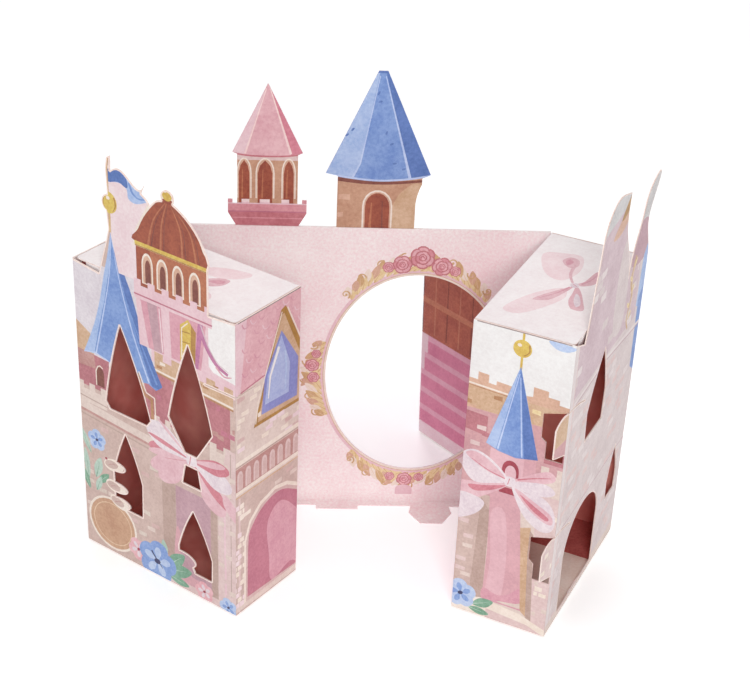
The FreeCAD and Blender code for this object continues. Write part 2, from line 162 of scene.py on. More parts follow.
def cardPaint(name, pale, deep, wash=14.0, speck=1.6, roughness=0.52):
    # printed board under matt varnish: IOR 1.46, roughness a little over one half
    material, tree = newMaterial(name)
    place = addNode(tree, "ShaderNodeTexCoord").outputs["Object"]
    broadValues = {"Scale": 1000 / wash, "Detail": 3.0, "Roughness": 0.62}
    fineValues = {"Scale": 1000 / speck, "Detail": 2.0, "Roughness": 0.7}
    broad = addNode(tree, "ShaderNodeTexNoise", broadValues, {"Vector": place}).outputs["Fac"]
    fine = addNode(tree, "ShaderNodeTexNoise", fineValues, {"Vector": place}).outputs["Fac"]
    both = addNode(tree, "ShaderNodeMath", None, {0: broad, 1: fine}, operation="ADD").outputs[0]
    mean = addNode(tree, "ShaderNodeMath", {1: 0.5}, {0: both}, operation="MULTIPLY").outputs[0]
    ramp = addNode(tree, "ShaderNodeValToRGB", None, {"Fac": mean})
    ramp.color_ramp.elements[0].position = 0.38
    ramp.color_ramp.elements[0].color = linear(pale)
    ramp.color_ramp.elements[1].position = 0.62
    ramp.color_ramp.elements[1].color = linear(deep)
    bump = addNode(tree, "ShaderNodeBump", {"Strength": 0.08, "Distance": 0.00004}, {"Height": fine})
    shader = addNode(
        tree,
        "ShaderNodeBsdfPrincipled",
        {"Roughness": roughness, "IOR": 1.46},
        {"Base Color": ramp.outputs["Color"], "Normal": bump.outputs["Normal"]},
    )
    addNode(tree, "ShaderNodeOutputMaterial", None, {"Surface": shader.outputs["BSDF"]})
    return material


paints = {name: cardPaint("print_" + name, *pair) for name, pair in inks.items()}


def russetInside():
    # inside of the cartons, flooded with russet ink up to the lid and left pale above it; the russet is
    # painted lighter than the ink, as painted light standing in for the light the closed cartons keep out
    material, tree = newMaterial("carton_inside")
    place = addNode(tree, "ShaderNodeTexCoord").outputs["Object"]
    mottle = addNode(tree, "ShaderNodeTexNoise", {"Scale": 45.0, "Detail": 3.0}, {"Vector": place})
    ramp = addNode(tree, "ShaderNodeValToRGB", None, {"Fac": mottle.outputs["Fac"]})
    # painted light: both russet washes are lightened to make up for the dim light inside
    ramp.color_ramp.elements[0].position = 0.36
    ramp.color_ramp.elements[0].color = linear("#f0a498")
    ramp.color_ramp.elements[1].position = 0.64
    ramp.color_ramp.elements[1].color = linear("#da8078")
    height = addNode(tree, "ShaderNodeSeparateXYZ", None, {0: place}).outputs["Z"]
    floodTop = (card["height"] + card["lift"] - 5) / 1000
    above = addNode(tree, "ShaderNodeMath", {1: floodTop}, {0: height}, operation="GREATER_THAN")
    mixLinks = {0: above.outputs[0], 6: ramp.outputs["Color"]}
    mix = addNode(tree, "ShaderNodeMix", {7: linear("#f0e3e0")}, mixLinks, data_type="RGBA").outputs[2]
    shader = addNode(tree, "ShaderNodeBsdfPrincipled", {"Roughness": 0.62, "IOR": 1.45}, {"Base Color": mix})
    addNode(tree, "ShaderNodeOutputMaterial", None, {"Surface": shader.outputs["BSDF"]})
    return material


def mirrorFoil():
    # aluminised film: metallic and nearly smooth, bowed a few degrees within its window
    material, tree = newMaterial("mirror_foil")
    place = addNode(tree, "ShaderNodeTexCoord").outputs["Object"]
    tilt, twist = (-0.033, 0.0, -0.052), -0.12
    bow = addNode(tree, "ShaderNodeVectorMath", {1: tilt}, {0: place}, operation="DOT_PRODUCT")
    axes = addNode(tree, "ShaderNodeSeparateXYZ", None, {0: place}).outputs
    across = addNode(tree, "ShaderNodeMath", None, {0: axes["X"], 1: axes["Z"]}, operation="MULTIPLY")
    heightLinks = {0: across.outputs[0], 2: bow.outputs["Value"]}
    height = addNode(tree, "ShaderNodeMath", {1: twist}, heightLinks, operation="MULTIPLY_ADD")
    bump = addNode(tree, "ShaderNodeBump", {"Strength": 1.0, "Distance": 1.0}, {"Height": height.outputs[0]})
    shader = addNode(
        tree,
        "ShaderNodeBsdfPrincipled",
        {"Base Color": linear("#f1f1f3"), "Metallic": 1.0, "Roughness": 0.03},
        {"Normal": bump.outputs["Normal"]},
    )
    addNode(tree, "ShaderNodeOutputMaterial", None, {"Surface": shader.outputs["BSDF"]})
    return material


cardEdge = cardPaint("card_edge", "#fdeee8", "#f6ddd4", wash=6.0, roughness=0.7)
cardInside = russetInside()
foil = mirrorFoil()
panelCard = cardPaint("panel_blush", "#fdf7f5", "#f4dadd", wash=60.0, roughness=0.6)
paints["panel"] = panelCard


# Shapes of print, all in mm on the flat card
def rectangle(x0, z0, x1, z1):
    return [(x0, z0), (x1, z0), (x1, z1), (x0, z1)]


def oval(x, z, rx, rz=None, turn=0.0, count=26):
    rz = rx if rz is None else rz
    c, s = math.cos(math.radians(turn)), math.sin(math.radians(turn))
    points = []
    for i in range(count):
        a = 2 * math.pi * i / count
        dx, dz = rx * math.cos(a), rz * math.sin(a)
        points.append((x + dx * c - dz * s, z + dx * s + dz * c))
    return points


def smooth(points, steps=5, closed=False):
    # a curve through the points
    n = len(points)
    result = []
    spans = n if closed else n - 1
    for i in range(spans):
        p = [points[(i + k) % n] if closed else points[min(max(i + k, 0), n - 1)] for k in (-1, 0, 1, 2)]
        for step in range(steps):
            t = step / steps
            result.append(tuple(
                0.5 * (2 * p[1][k] + (p[2][k] - p[0][k]) * t
                       + (2 * p[0][k] - 5 * p[1][k] + 4 * p[2][k] - p[3][k]) * t * t
                       + (3 * p[1][k] - p[0][k] - 3 * p[2][k] + p[3][k]) * t ** 3)
                for k in (0, 1)))
    if not closed:
        result.append(points[-1])
    return result


def stroke(ink, points, width, endWidth=None):
    # a brush line, one four-sided dab to each stretch
    endWidth = width if endWidth is None else endWidth
    dabs = []
    n = len(points) - 1
    for i in range(n):
        (x0, z0), (x1, z1) = points[i], points[i + 1]
        length = math.hypot(x1 - x0, z1 - z0) or 1.0
        dx, dz = (x1 - x0) / length, (z1 - z0) / length
        a = (width + (endWidth - width) * i / n) / 2
        b = (width + (endWidth - width) * (i + 1) / n) / 2
        lap = min(a, b) * 0.35
        x0, z0, x1, z1 = x0 - dx * lap, z0 - dz * lap, x1 + dx * lap, z1 + dz * lap
        start = [(x0 - dz * a, z0 + dx * a), (x0 + dz * a, z0 - dx * a)]
        end = [(x1 + dz * b, z1 - dx * b), (x1 - dz * b, z1 + dx * b)]
        dabs.append((ink, start + end))
    return dabs


def blob(ink, points, steps=4):
    # a soft closed field through the points
    return (ink, smooth(points, steps, True))


def petal(x, z, length, width, turn, blunt=0.62):
    # a drop from a point: narrow at (x, z), full towards its far end
    c, s = math.cos(math.radians(turn)), math.sin(math.radians(turn))
    half = [(0.0, 0.06), (0.25, 0.5), (blunt, 1.0), (0.88, 0.72), (0.985, 0.3)]
    line = [(length * t, width / 2 * w) for t, w in half] + [(length, 0.0)]
    line += [(length * t, -width / 2 * w) for t, w in reversed(half)]
    return [(x + a * c - b * s, z + a * s + b * c) for a, b in smooth(line, 4)]


def arch(x, base, half, spring, top, count=9):
    points = [(x - half, base), (x + half, base)]
    for i in range(count + 1):
        a = math.pi * i / count
        points.append((x + half * math.cos(a), spring + (top - spring) * math.sin(a)))
    return points


def crenels(x0, z0, x1, z1, low, count, lean=0.0):
    # a strip of wall whose top edge steps up and down
    points = [(x0, z0), (x1, z0 + lean)]
    step = (x1 - x0) / (2 * count - 1)
    for i in range(2 * count - 1):
        xr = x1 - step * i
        xl = xr - step
        zt = z1 if i % 2 == 0 else z1 - low
        drop = lean * (xr - x0) / (x1 - x0)
        dropLeft = lean * (xl - x0) / (x1 - x0)
        points += [(xr, zt + drop), (xl, zt + dropLeft)]
    return points


def bricks(seed, x0, z0, x1, z1, inksUsed, share=0.35, size=(6.5, 3.2)):
    # scattered soft bricks in courses
    chance = random.Random(seed)
    found = []
    row = 0
    z = z0
    while z + size[1] * 0.8 < z1:
        x = x0 - size[0] * (0.5 if row % 2 else 0.0)
        while x < x1:
            if chance.random() < share:
                a, b = max(x + 0.4, x0), min(x + size[0] - 0.4, x1)
                if b - a > 1.5:
                    j = [chance.uniform(-0.3, 0.3) for k in range(4)]
                    joint = 0.3
                    low, high = z + joint, z + size[1] - joint
                    outline = [(a, low + j[0]), (b, low + j[1]), (b, high + j[2]), (a, high + j[3])]
                    found.append((chance.choice(inksUsed), outline))
            x += size[0]
        z += size[1]
        row += 1
    return found


def blossom(x, z, radius, ink, heart, turn, shade):
    petals = 5
    shapes = []
    for i in range(petals):
        angle = turn + 360 / petals * i
        shapes.append((ink, petal(x, z, radius, radius * 0.95, angle, 0.6)))
        shapes.append((shade, petal(x, z, radius * 0.7, radius * 0.35, angle + 6, 0.6)))
    shapes.append((heart, oval(x, z, radius * 0.17, radius * 0.13, turn, 10)))
    return shapes


def leafShape(x, z, length, width, turn, ink="leaf", vein="leafPale"):
    c, s = math.cos(math.radians(turn)), math.sin(math.radians(turn))
    half = [(0, 0), (0.35, 0.45), (0.7, 0.4), (1, 0), (0.65, -0.45), (0.3, -0.4)]
    outline = smooth([(length * a, width * b) for a, b in half], 4, True)
    shapes = [(ink, [(x + a * c - b * s, z + a * s + b * c) for a, b in outline])]
    return shapes + stroke(vein, [(x, z), (x + length * 0.8 * c, z + length * 0.8 * s)], width * 0.1, 0.1)


def roseShape(x, z, radius, turn=0.0):
    # overlapping petals round an off-centre curl
    shapes = []
    for ring, (reach, size, count) in enumerate(((0.62, 0.46, 6), (0.34, 0.36, 5), (0.14, 0.24, 3))):
        for i in range(count):
            angle = turn + 40 * ring + 360 / count * i
            a = math.radians(angle)
            cx, cz = x + radius * reach * math.cos(a), z + radius * reach * math.sin(a)
            shapes.append(("balconyDeep", oval(cx, cz, radius * size, radius * size * 0.74, angle + 90, 10)))
            ink = ("balcony", "petalPink", "roofPink")[(i + ring) % 3]
            inward = 0.07 * radius
            px, pz = cx - inward * math.cos(a), cz - inward * math.sin(a)
            shapes.append((ink, oval(px, pz, radius * size * 0.86, radius * size * 0.6, angle + 90, 10)))
    curl = [(x - radius * 0.16, z), (x, z + radius * 0.12), (x + radius * 0.14, z - radius * 0.04)]
    return shapes + stroke("balconyDeep", smooth(curl, 3), radius * 0.09)


def scroll(ink, x, z, radius, start, turns, width):
    # a curl that winds in to its centre
    count = max(8, int(abs(turns) * 18))
    line = []
    for i in range(count + 1):
        t = i / count
        a = math.radians(start + 360 * turns * t)
        r = radius * (1 - 0.82 * t)
        line.append((x + r * math.cos(a), z + r * math.sin(a)))
    return stroke(ink, line, width, width * 0.6) + [(ink, oval(*line[-1], width * 0.8, count=8))]


def ribbonBow(x, z, span, loops):
    # loops from a knot: (turn, length, width, ink) as shares of the span
    shapes = []
    for turn, length, width, ink in loops:
        shapes.append((ink, petal(x, z, span * length, span * width, turn)))
    k = span * 0.1
    knot = [(x - k, z - k), (x + k, z - k * 0.8), (x + k * 0.9, z + k), (x - k, z + k * 0.9)]
    shapes.append(("bowPale", smooth(knot, 3, True)))
    shapes += stroke("bowDeep", [(x - k * 0.5, z - k * 0.9), (x - k * 0.2, z + k * 0.8)], span * 0.02)
    return shapes


def moved(shapes, change):
    return [(ink, [change(a, b) for a, b in points]) for ink, points in shapes]


# Placing print on the card: each wall turns flat (a, b) into the closed carton's (u, y, z)
def cartonMatrix(side):
    sign = -1 if side == "left" else 1
    hinge = Matrix.Translation((sign * card["panelHalf"] / 1000, 0, card["lift"] / 1000))
    turn = Matrix.Rotation(math.radians(card["swing"][side]), 4, "Z")
    scale = Matrix.Diagonal((-0.001 * sign, 0.001, 0.001, 1.0))
    return hinge @ turn @ scale


def facadeY(side, u, z):
    y = -card["backGap"] - card["depth"][side]
    if side == "right" and z > card["curlStart"]:
        rise = z - card["curlStart"]
        y -= card["curlRadius"] - math.sqrt(card["curlRadius"] ** 2 - rise ** 2)
    if side == "right" and u > card["width"]:
        y += (u - card["width"]) * math.tan(math.radians(card["tabLean"]))
    return y


def facadeWall(side):
    def flat(p):
        return (p.x, p.z) if abs(p.y - facadeY(side, p.x, p.z)) < 0.12 else None

    def solid(a, b):
        ink = card["curlInkHeight"] if side == "right" and b > card["curlStart"] - 6 else card["inkHeight"]
        return Vector((a, facadeY(side, a, b) - ink, b))
    return flat, solid


def sideWall(side, u):
    # an end wall, flat as (distance from the back, height)
    out = card["inkHeight"] * (1 if u > 1 else -1)

    def flat(p):
        return (-p.y - card["backGap"], p.z) if abs(p.x - u) < 0.1 else None

    def solid(a, b):
        return Vector((u + out, -a - card["backGap"], b))
    return flat, solid


def backWall(side):
    def flat(p):
        return (p.x, p.z) if abs(p.y + card["backGap"]) < 0.1 else None

    def solid(a, b):
        return Vector((a, -card["backGap"] + card["inkHeight"], b))
    return flat, solid


def lidTop(side):
    def flat(p):
        return (p.x, -p.y - card["backGap"]) if abs(p.z - card["height"]) < 0.02 else None

    def solid(a, b):
        return Vector((a, -b - card["backGap"], card["height"] + card["inkHeight"]))
    return flat, solid


def floorTop():
    def flat(p):
        return (p.x, -p.y - card["backGap"]) if abs(p.z - card["thickness"]) < 0.02 else None

    def solid(a, b):
        return Vector((a, -b - card["backGap"], card["thickness"] + card["inkHeight"]))
    return flat, solid


def uprightAt(y, lowest=-1.0, facing=-1):
    def flat(p):
        return (p.x, p.z) if abs(p.y - y) < 0.05 and p.z > lowest else None

    def solid(a, b):
        return Vector((a, y + facing * card["inkHeight"], b))
    return flat, solid


def inside(x, z, points):
    hit = False
    for (x0, z0), (x1, z1) in zip(points, points[1:] + points[:1]):
        if (z0 > z) != (z1 > z) and x < x0 + (z - z0) / (z1 - z0) * (x1 - x0):
            hit = not hit
    return hit


def framed(points):
    # points with their bounding box, for a quick test
    xs, zs = [a for a, b in points], [b for a, b in points]
    return (min(xs), max(xs), min(zs), max(zs), points)


def covers(x, z, field):
    return field[0] <= x <= field[1] and field[2] <= z <= field[3] and inside(x, z, field[4])


def offFolds(a, b):
    # cut edges only: not the folds at either side nor the foot
    width = card["width"]
    folds = a[0] == b[0] and (a[0] < 0.1 or abs(a[0] - width) < 0.1)
    return not folds and max(a[1], b[1]) > 0.1


def cutHighlightStrokes(parts, width):
    # the pale line along every cut of a wall: the bare board of the cut, widened onto the face as a painted
    # highlight of the cut edge
    seen = {}
    for part in parts:
        ends = [(round(a, 2), round(b, 2)) for a, b in part]
        for a, b in zip(ends, ends[1:] + ends[:1]):
            key = (min(a, b), max(a, b))
            seen[key] = seen.get(key, 0) + 1
    lines = [key for key, count in seen.items() if count == 1 and offFolds(*key)]
    return [dab for a, b in lines if a != b for dab in stroke("rim", [a, b], width)]


def printSheet(name, node, body, matrix, wall, shapes, base, courses=(), rim=0.0):
    # one thin printed skin over every facet of that wall, cut into fields of ink
    flat, solid = wall
    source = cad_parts[node]
    toCard = matrix.inverted() @ source.matrix_world
    parts = []
    for polygon in source.data.polygons:
        corners = [flat(toCard @ source.data.vertices[i].co) for i in polygon.vertices]
        if all(corners):
            parts.append(corners)
    # lay a painted highlight along the cut edges
    if rim:
        shapes = shapes + cutHighlightStrokes(parts, rim)
    verts, edges = [], []
    for points in parts + [points for ink, points in shapes]:
        first, count = len(verts), len(points)
        verts += [Vector(point) for point in points]
        edges += [(first + i, first + (i + 1) % count) for i in range(count)]
    for level in courses:
        edges.append((len(verts), len(verts) + 1))
        verts += [Vector((-20, level)), Vector((140, level))]
    result = delaunay_2d_cdt(verts, edges, [], 0, 0.004, False)
    points, triangles = result[0], result[2]
    wallFields = [framed(part) for part in parts]
    inkFields = [(ink, framed(outline)) for ink, outline in reversed(shapes)]
    kept, inksKept = [], []
    for triangle in triangles:
        x = sum(points[i][0] for i in triangle) / 3
        z = sum(points[i][1] for i in triangle) / 3
        if any(covers(x, z, field) for field in wallFields):
            kept.append(triangle)
            inksKept.append(next((ink for ink, field in inkFields if covers(x, z, field)), base))
    mesh = bpy.data.meshes.new(name)
    mesh.from_pydata([matrix @ solid(p[0], p[1]) for p in points], [], kept)
    slots = sorted(set(inksKept))
    for ink in slots:
        mesh.materials.append(paints[ink])
    for polygon, ink in zip(mesh.polygons, inksKept):
        polygon.material_index = slots.index(ink)
    mesh.update()
    piece = bpy.data.objects.new(name, mesh)
    bpy.context.collection.objects.link(piece)
    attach(piece, body)
    print(name, len(kept))


def printWall(side, part, wall, shapes, base, courses=(), rim=0.0):
    name = f"{side}_{part}_print"
    printSheet(name, side + "_carton", side + "_box", cartonMatrix(side), wall, shapes, base, courses, rim)


# Card itself: edges, insides and floors take their own finish
def dressCarton(side):
    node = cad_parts[side + "_carton"]
    mesh = node.data
    toCard = cartonMatrix(side).inverted() @ node.matrix_world
    mesh.materials.clear()
    for material in (paints["wallPale"], cardInside, cardEdge):
        mesh.materials.append(material)
    w, t = card["width"], card["thickness"]
    back = -card["backGap"]
    for polygon in mesh.polygons:
        corners = [toCard @ mesh.vertices[i].co for i in polygon.vertices]
        inner = all(abs(c.y - facadeY(side, c.x, c.z) - t) < 0.15 and c.x < w + 0.1 for c in corners)
        inner = inner or all(abs(c.x - t) < 0.05 for c in corners)
        inner = inner or all(abs(c.x - w + t) < 0.05 for c in corners)
        inner = inner or all(abs(c.y - back + t) < 0.05 for c in corners)
        outer = all(abs(c.y - facadeY(side, c.x, c.z)) < 0.15 for c in corners)
        outer = outer or all(abs(c.x) < 0.05 for c in corners) or all(abs(c.x - w) < 0.05 for c in corners)
        outer = outer or all(abs(c.y - back) < 0.05 for c in corners)
        if inner or all(abs(c.z - t) < 0.05 for c in corners):
            polygon.material_index = 1
        elif outer or all(abs(c.z) < 0.05 for c in corners):
            polygon.material_index = 0
        else:
            polygon.material_index = 2


def dressNode(name, faceMaterial):
    # a flat sheet in its own finish, with bare board on the upright edges at a lid's top
    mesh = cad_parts[name].data
    mesh.materials.clear()
    mesh.materials.append(faceMaterial)
    mesh.materials.append(cardEdge)
    lidEdge = (card["height"] + card["lift"] - 0.2) / 1000
    for polygon in mesh.polygons:
        upright = max(abs(n) for n in polygon.normal[:2]) > 0.7
        highest = max(mesh.vertices[i].co.z for i in polygon.vertices)
        bareEdge = name.endswith("_lid") and upright and highest > lidEdge
        polygon.material_index = 1 if bareEdge else 0


for side in ("left", "right"):
    dressCarton(side)
    dressNode(side + "_lid", paints["lidWhite"])
dressNode("front_sheet", panelCard)
dressNode("rear_board", paints["blush"])
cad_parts["mirror_sheet"].data.materials.clear()
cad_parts["mirror_sheet"].data.materials.append(foil)
print("card dressed")


# Left facade: blue roof with flag, domed turret, battlements, bow and flowers
def leftFacadeShapes():
    s = []
    s.append(("lilacMist", rectangle(-1, 124, 64, 184)))
    s.append(("tan", [(-1, 118), (14, 118), (10, 140), (-1, 146)]))
    s.append(("roseWall", [(-1, 106), (21, 106), (23, 127), (-1, 128)]))
    s.append(("roseBrown", [(-1, 118), (13, 119), (12, 127), (-1, 128)]))
    s.append(("roseWall", [(50, 96), (58, 96), (58, 127), (48, 127)]))
    s.append(("brown", arch(16.0, 109, 2.9, 117, 121)))
    s += stroke("cream", [(13.0, 109), (13.0, 118), (14.4, 121), (16, 122), (18, 121)], 0.7)
    s.append(("wallPale", crenels(-1, 95, 20, 108, 4.5, 3)))
    s += stroke("wallShade", [(-1, 98.5), (20, 97.2)], 0.7)
    # field above the rose wall, and the wall itself
    s.append(("pinkPale", [(54, 140), (112, 138), (112, 184), (54, 184)]))
    s.append(("sky", [(86, 158), (96, 149), (112, 147), (112, 184), (86, 184)]))
    s.append(("roseWall", [(55, 104), (107, 104), (107, 137), (55, 137)]))
    s += bricks(3, 57, 108, 106, 134, ["roseBrown", "pinkDeep"], 0.14)
    s.append(("tan", crenels(56, 134.5, 109, 146.5, 4.0, 5, -3.0)))
    s += stroke("cream", [(56, 135.5), (109, 132.8)], 1.2)
    s += stroke("tanDark", [(56, 134), (109, 131.3)], 1.0)
    s += bricks(4, 57, 137, 107, 142, ["cream", "tanDark"], 0.25, (4.5, 2.4))
    s.append(("wallPale", crenels(54.5, 93, 66, 107, 4.5, 2)))
    s.append(("wallPale", crenels(93, 93, 107, 106.5, 4.5, 2)))
    # cornice and lower wall
    s.append(("wallPale", [(-1, 90.5), (54, 86.7), (54, 91.4), (-1, 95.4)]))
    s += stroke("roseBrown", [(-1, 89.6), (54, 85.8)], 1.5)
    s += stroke("wallShade", [(-1, 86.8), (54, 83.0)], 1.0)
    s += bricks(5, 1, 22, 62, 84, ["brick", "wallPale", "brickRose"], 0.16)
    s += bricks(6, 60, 4, 67, 66, ["wallPale", "brick"], 0.25, (5, 3))
    s.append(("wallShade", [(59.0, 4), (67.5, 4), (68.5, 68), (58.5, 70)]))
    s.append(("mauveDeep", [(68.3, 6), (93.5, 6), (93, 68), (68.5, 68)]))
    s.append(blob("shaft", [(68.4, 40), (72.0, 34), (71.0, 20), (76.0, 12), (93.5, 9), (93.5, 5),
        (68.3, 5)], 3))
    s.append(("wallShade", [(93.5, 5), (98.2, 5), (97.5, 66), (93, 68)]))
    s.append(("wallRose", [(98.2, -1), (111, -1), (111, 106), (104, 106), (98.4, 66)]))
    s += stroke("pinkPale", [(103.6, 2), (102.8, 64)], 1.3)
    s += stroke("wallShade", [(107.4, 2), (107.0, 104)], 0.5)
    s += bricks(7, 98, 8, 110, 104, ["wallRose", "wallPale"], 0.3, (5, 3.4))
    s += bricks(8, 98, 110, 110, 132, ["roseBrown", "pinkDeep"], 0.25, (5, 3.4))
    s.append(("wallRose", [(55, -1), (111, -1), (111, 4.6), (55, 4.6)]))
    # blue roof, hollow-sided towards its tip
    apex = (28.6, 207.4)
    leftSide = [apex, (25.4, 192), (22.0, 178.7), (18.4, 163), (13.0, 146), (5.0, 127.6)]
    rightSide = [(61.0, 126.4), (54.6, 139.0), (48.6, 152.5), (41.4, 174.0), (37.2, 183.7), (33.2, 194.2)]
    s.append(("roof", smooth(leftSide, 4) + [(13, 129), (22.8, 127.5), (36, 122), (51.0, 124.6),
        (56.5, 122.4)] + smooth(rightSide + [apex], 4)))
    s.append(("roofPale", smooth(leftSide, 4) + [(12.4, 128.4), (17.2, 148), (21.8, 164), (26.4, 186)]))
    s.append(("roofDark", smooth([apex, (31.6, 190), (36.6, 172), (43.6, 152),
        (53.5, 124.2)], 4) + [(58.5, 123.9)] + smooth(rightSide + [apex], 4)))
    s += stroke("roofLine", smooth([(28.6, 204), (26.0, 180), (20.6, 156), (13.6, 128.5)], 4), 0.4, 1.0)
    s += stroke("roofLine", smooth([(28.9, 203), (32.6, 182), (41.0, 152), (51.6, 125.4)], 4), 0.4, 1.2)
    s += stroke("roof", smooth([(29.4, 198), (36.6, 172), (46.5, 148), (57.0, 126.5)], 4), 0.3, 1.4)
    s += stroke("roofLine", [(5.0, 127.4), (13, 129.4), (22.4, 127.6)], 0.8)
    s += stroke("tanDark", [(43.5, 128), (48.0, 117), (53.2, 115.6), (53.4, 98)], 2.0)
    s += stroke("cream", [(44.6, 129.6), (49.4, 118.6), (55.2, 117.2), (55.6, 97.4)], 0.8)
    # pole, ball and flag
    s.append(("pinkMist", [(28, 207), (27.5, 243), (40, 240), (50, 236), (58, 232), (56, 206), (46, 184),
        (33, 184)]))
    flagTop = smooth([(27.8, 240.5), (33, 242.6), (39.6, 241.4), (45.6, 236.0), (52.4, 239.4)], 4)
    flagLow = smooth([(54.6, 230.6), (47, 227.4), (41.8, 228.6), (40.6, 234.0), (35.0, 235.4),
        (27.8, 233.6)], 4)
    s.append(("roofPale", flagTop + [(50.4, 235.4), (54.0, 233.8)] + flagLow))
    s.append(blob("roofDark", [(28.0, 240.6), (34, 242.4), (39.8, 240.4), (41.6, 236.0), (40.4, 234.0),
        (35.0, 235.8), (28.0, 234.0)], 3))
    s += stroke("roof", smooth([(42.6, 237.2), (44.6, 232.6), (48.6, 230.6), (54.2, 231.8)], 4), 1.6, 0.6)
    s += stroke("bronze", [(28.9, 252), (27.4, 243), (27.6, 230), (28.2, 214), (28.2, 206)], 1.9, 1.3)
    s.append(("gold", oval(28.0, 222.4, 5.6, 6.0)))
    s += stroke("goldDark", smooth([(31.8, 225.8), (32.6, 221.6), (30.6, 217.8)], 4), 1.2, 0.4)
    s += stroke("goldDark", smooth([(26.2, 227.2), (24.2, 222.6), (25.6, 218.0)], 4), 0.7, 0.3)
    s.append(("cream", oval(27.6, 224.8, 1.3, 1.0)))
    # domed turret: knob, ribbed dome, arched drum, rose body with a gold panel
    s.append(("cream", [(43.5, 204.0), (95, 204.0), (95, 212), (88, 226), (78, 236), (73, 242), (62, 242),
        (56, 232), (46, 214)]))
    s.append(blob("chestnut", [(46.0, 206.2), (92.6, 206.2), (90.2, 215.0), (84.2, 226.0), (76.0, 233.4),
        (69.4, 236.6), (62.4, 234.4), (53.4, 224.4), (47.6, 214.0)]))
    for x0, x1, mid in ((54.0, 66.2, 58.0), (62.4, 67.2, 63.6), (76.8, 69.6, 75.6), (85.8, 70.8, 82.0)):
        s += stroke("chestnutPale", smooth([(x0, 207.0), (mid, 222.0), (x1, 234.0)], 5), 1.5, 0.4)
        s += stroke("brown", smooth([(x0 + 2.2, 207.0), (mid + 1.8, 222.0), (x1 + 0.6, 233.0)], 5), 0.7, 0.3)
    s += stroke("gold", [(45.2, 206.0), (93.4, 206.0)], 2.0)
    s += stroke("goldDark", [(45.2, 204.6), (93.4, 204.6)], 0.7)
    s.append(("gold", oval(67.5, 239.0, 3.4, 3.6)))
    s.append(("cream", oval(66.4, 240.4, 0.9, 0.8)))
    s.append(("chestnutPale", [(45.6, 182.0), (92.6, 182.0), (92.6, 204.2), (45.6, 204.2)]))
    s.append(("chestnut", [(45.6, 182.0), (57.0, 182.0), (55.0, 204.2), (45.6, 204.2)]))
    for x in (53.0, 63.0, 73.5, 84.5):
        s.append(("cream", arch(x, 184.0, 3.8, 195.0, 202.0)))
        s.append(("peach", arch(x, 184.6, 2.9, 194.6, 200.6)))
        s.append(("brown", arch(x + 0.4, 184.6, 1.9, 193.4, 198.2)))
    s.append(("pinkPale", crenels(43.4, 174.0, 95.4, 185.4, 3.6, 6)))
    s += stroke("pinkDeep", [(43.4, 176.4), (95.4, 175.8)], 0.9)
    s.append(("pinkPale", [(46.0, 147), (93.0, 147), (93.0, 174), (44.5, 174)]))
    s.append(("pink", [(52.5, 147), (88.0, 147), (91.5, 174), (47.5, 174)]))
    s.append(("mauveDeep", [(56.0, 147), (61.5, 147), (58.6, 174), (52.0, 174)]))
    s.append(("pinkPale", [(63.0, 147), (68.0, 147), (67.0, 174), (61.4, 174)]))
    s.append(("magenta", [(83.6, 147), (86.0, 147), (89.6, 174), (86.2, 174)]))
    s += stroke("pinkMist", [(62.0, 148), (60.2, 173)], 0.7)
    s.append(("gold", [(74.0, 148), (84.0, 148), (84.8, 168), (79.6, 173.6), (74.2, 169)]))
    s.append(("goldDark", [(80.8, 148), (84.0, 148), (84.8, 168), (81.6, 171.4)]))
    s += stroke("cream", [(75.0, 150), (75.3, 167.5), (79.4, 171.6)], 0.7)
    for z in (153.5, 159.5, 165.5):
        s += stroke("goldDark", [(75.6, z), (80.6, z + 0.6)], 0.6)
    swag = smooth([(87.4, 172.0), (91.6, 162.6), (97.6, 154.8), (105.4, 151.2)], 6)
    s += stroke("magenta", swag, 3.4, 1.8)
    s += stroke("mauve", [(a + 0.7, b + 1.5) for a, b in swag], 0.9, 0.4)
    s += stroke("pink", smooth([(98.0, 153.0), (103.0, 149.4), (108.0, 150.6)], 4), 1.4, 0.5)
    # bow: two pale loops and two rosy ones, with a tail
    loops = (
        (222, 1.0, 0.44, "bow"),
        (207, 1.06, 0.36, "bow"),
        (184, 0.98, 0.3, "bowDeep"),
        (190, 1.0, 0.16, "bow"),
        (161, 1.08, 0.52, "bowPale"),
        (170, 1.0, 0.09, "bowDeep"),
        (144, 0.98, 0.06, "bow"),
        (-50, 1.1, 0.5, "bow"),
        (-40, 1.06, 0.2, "bowDeep"),
        (-16, 0.92, 0.42, "bowPale"),
        (8, 0.84, 0.3, "bowDeep"),
        (13, 0.76, 0.13, "bow"),
    )
    s += ribbonBow(80.4, 88.6, 31.0, loops)
    s.append(blob("bow", [(103.0, 77.0), (111.5, 70.0), (111.5, 61.0), (102.4, 69.6)]))
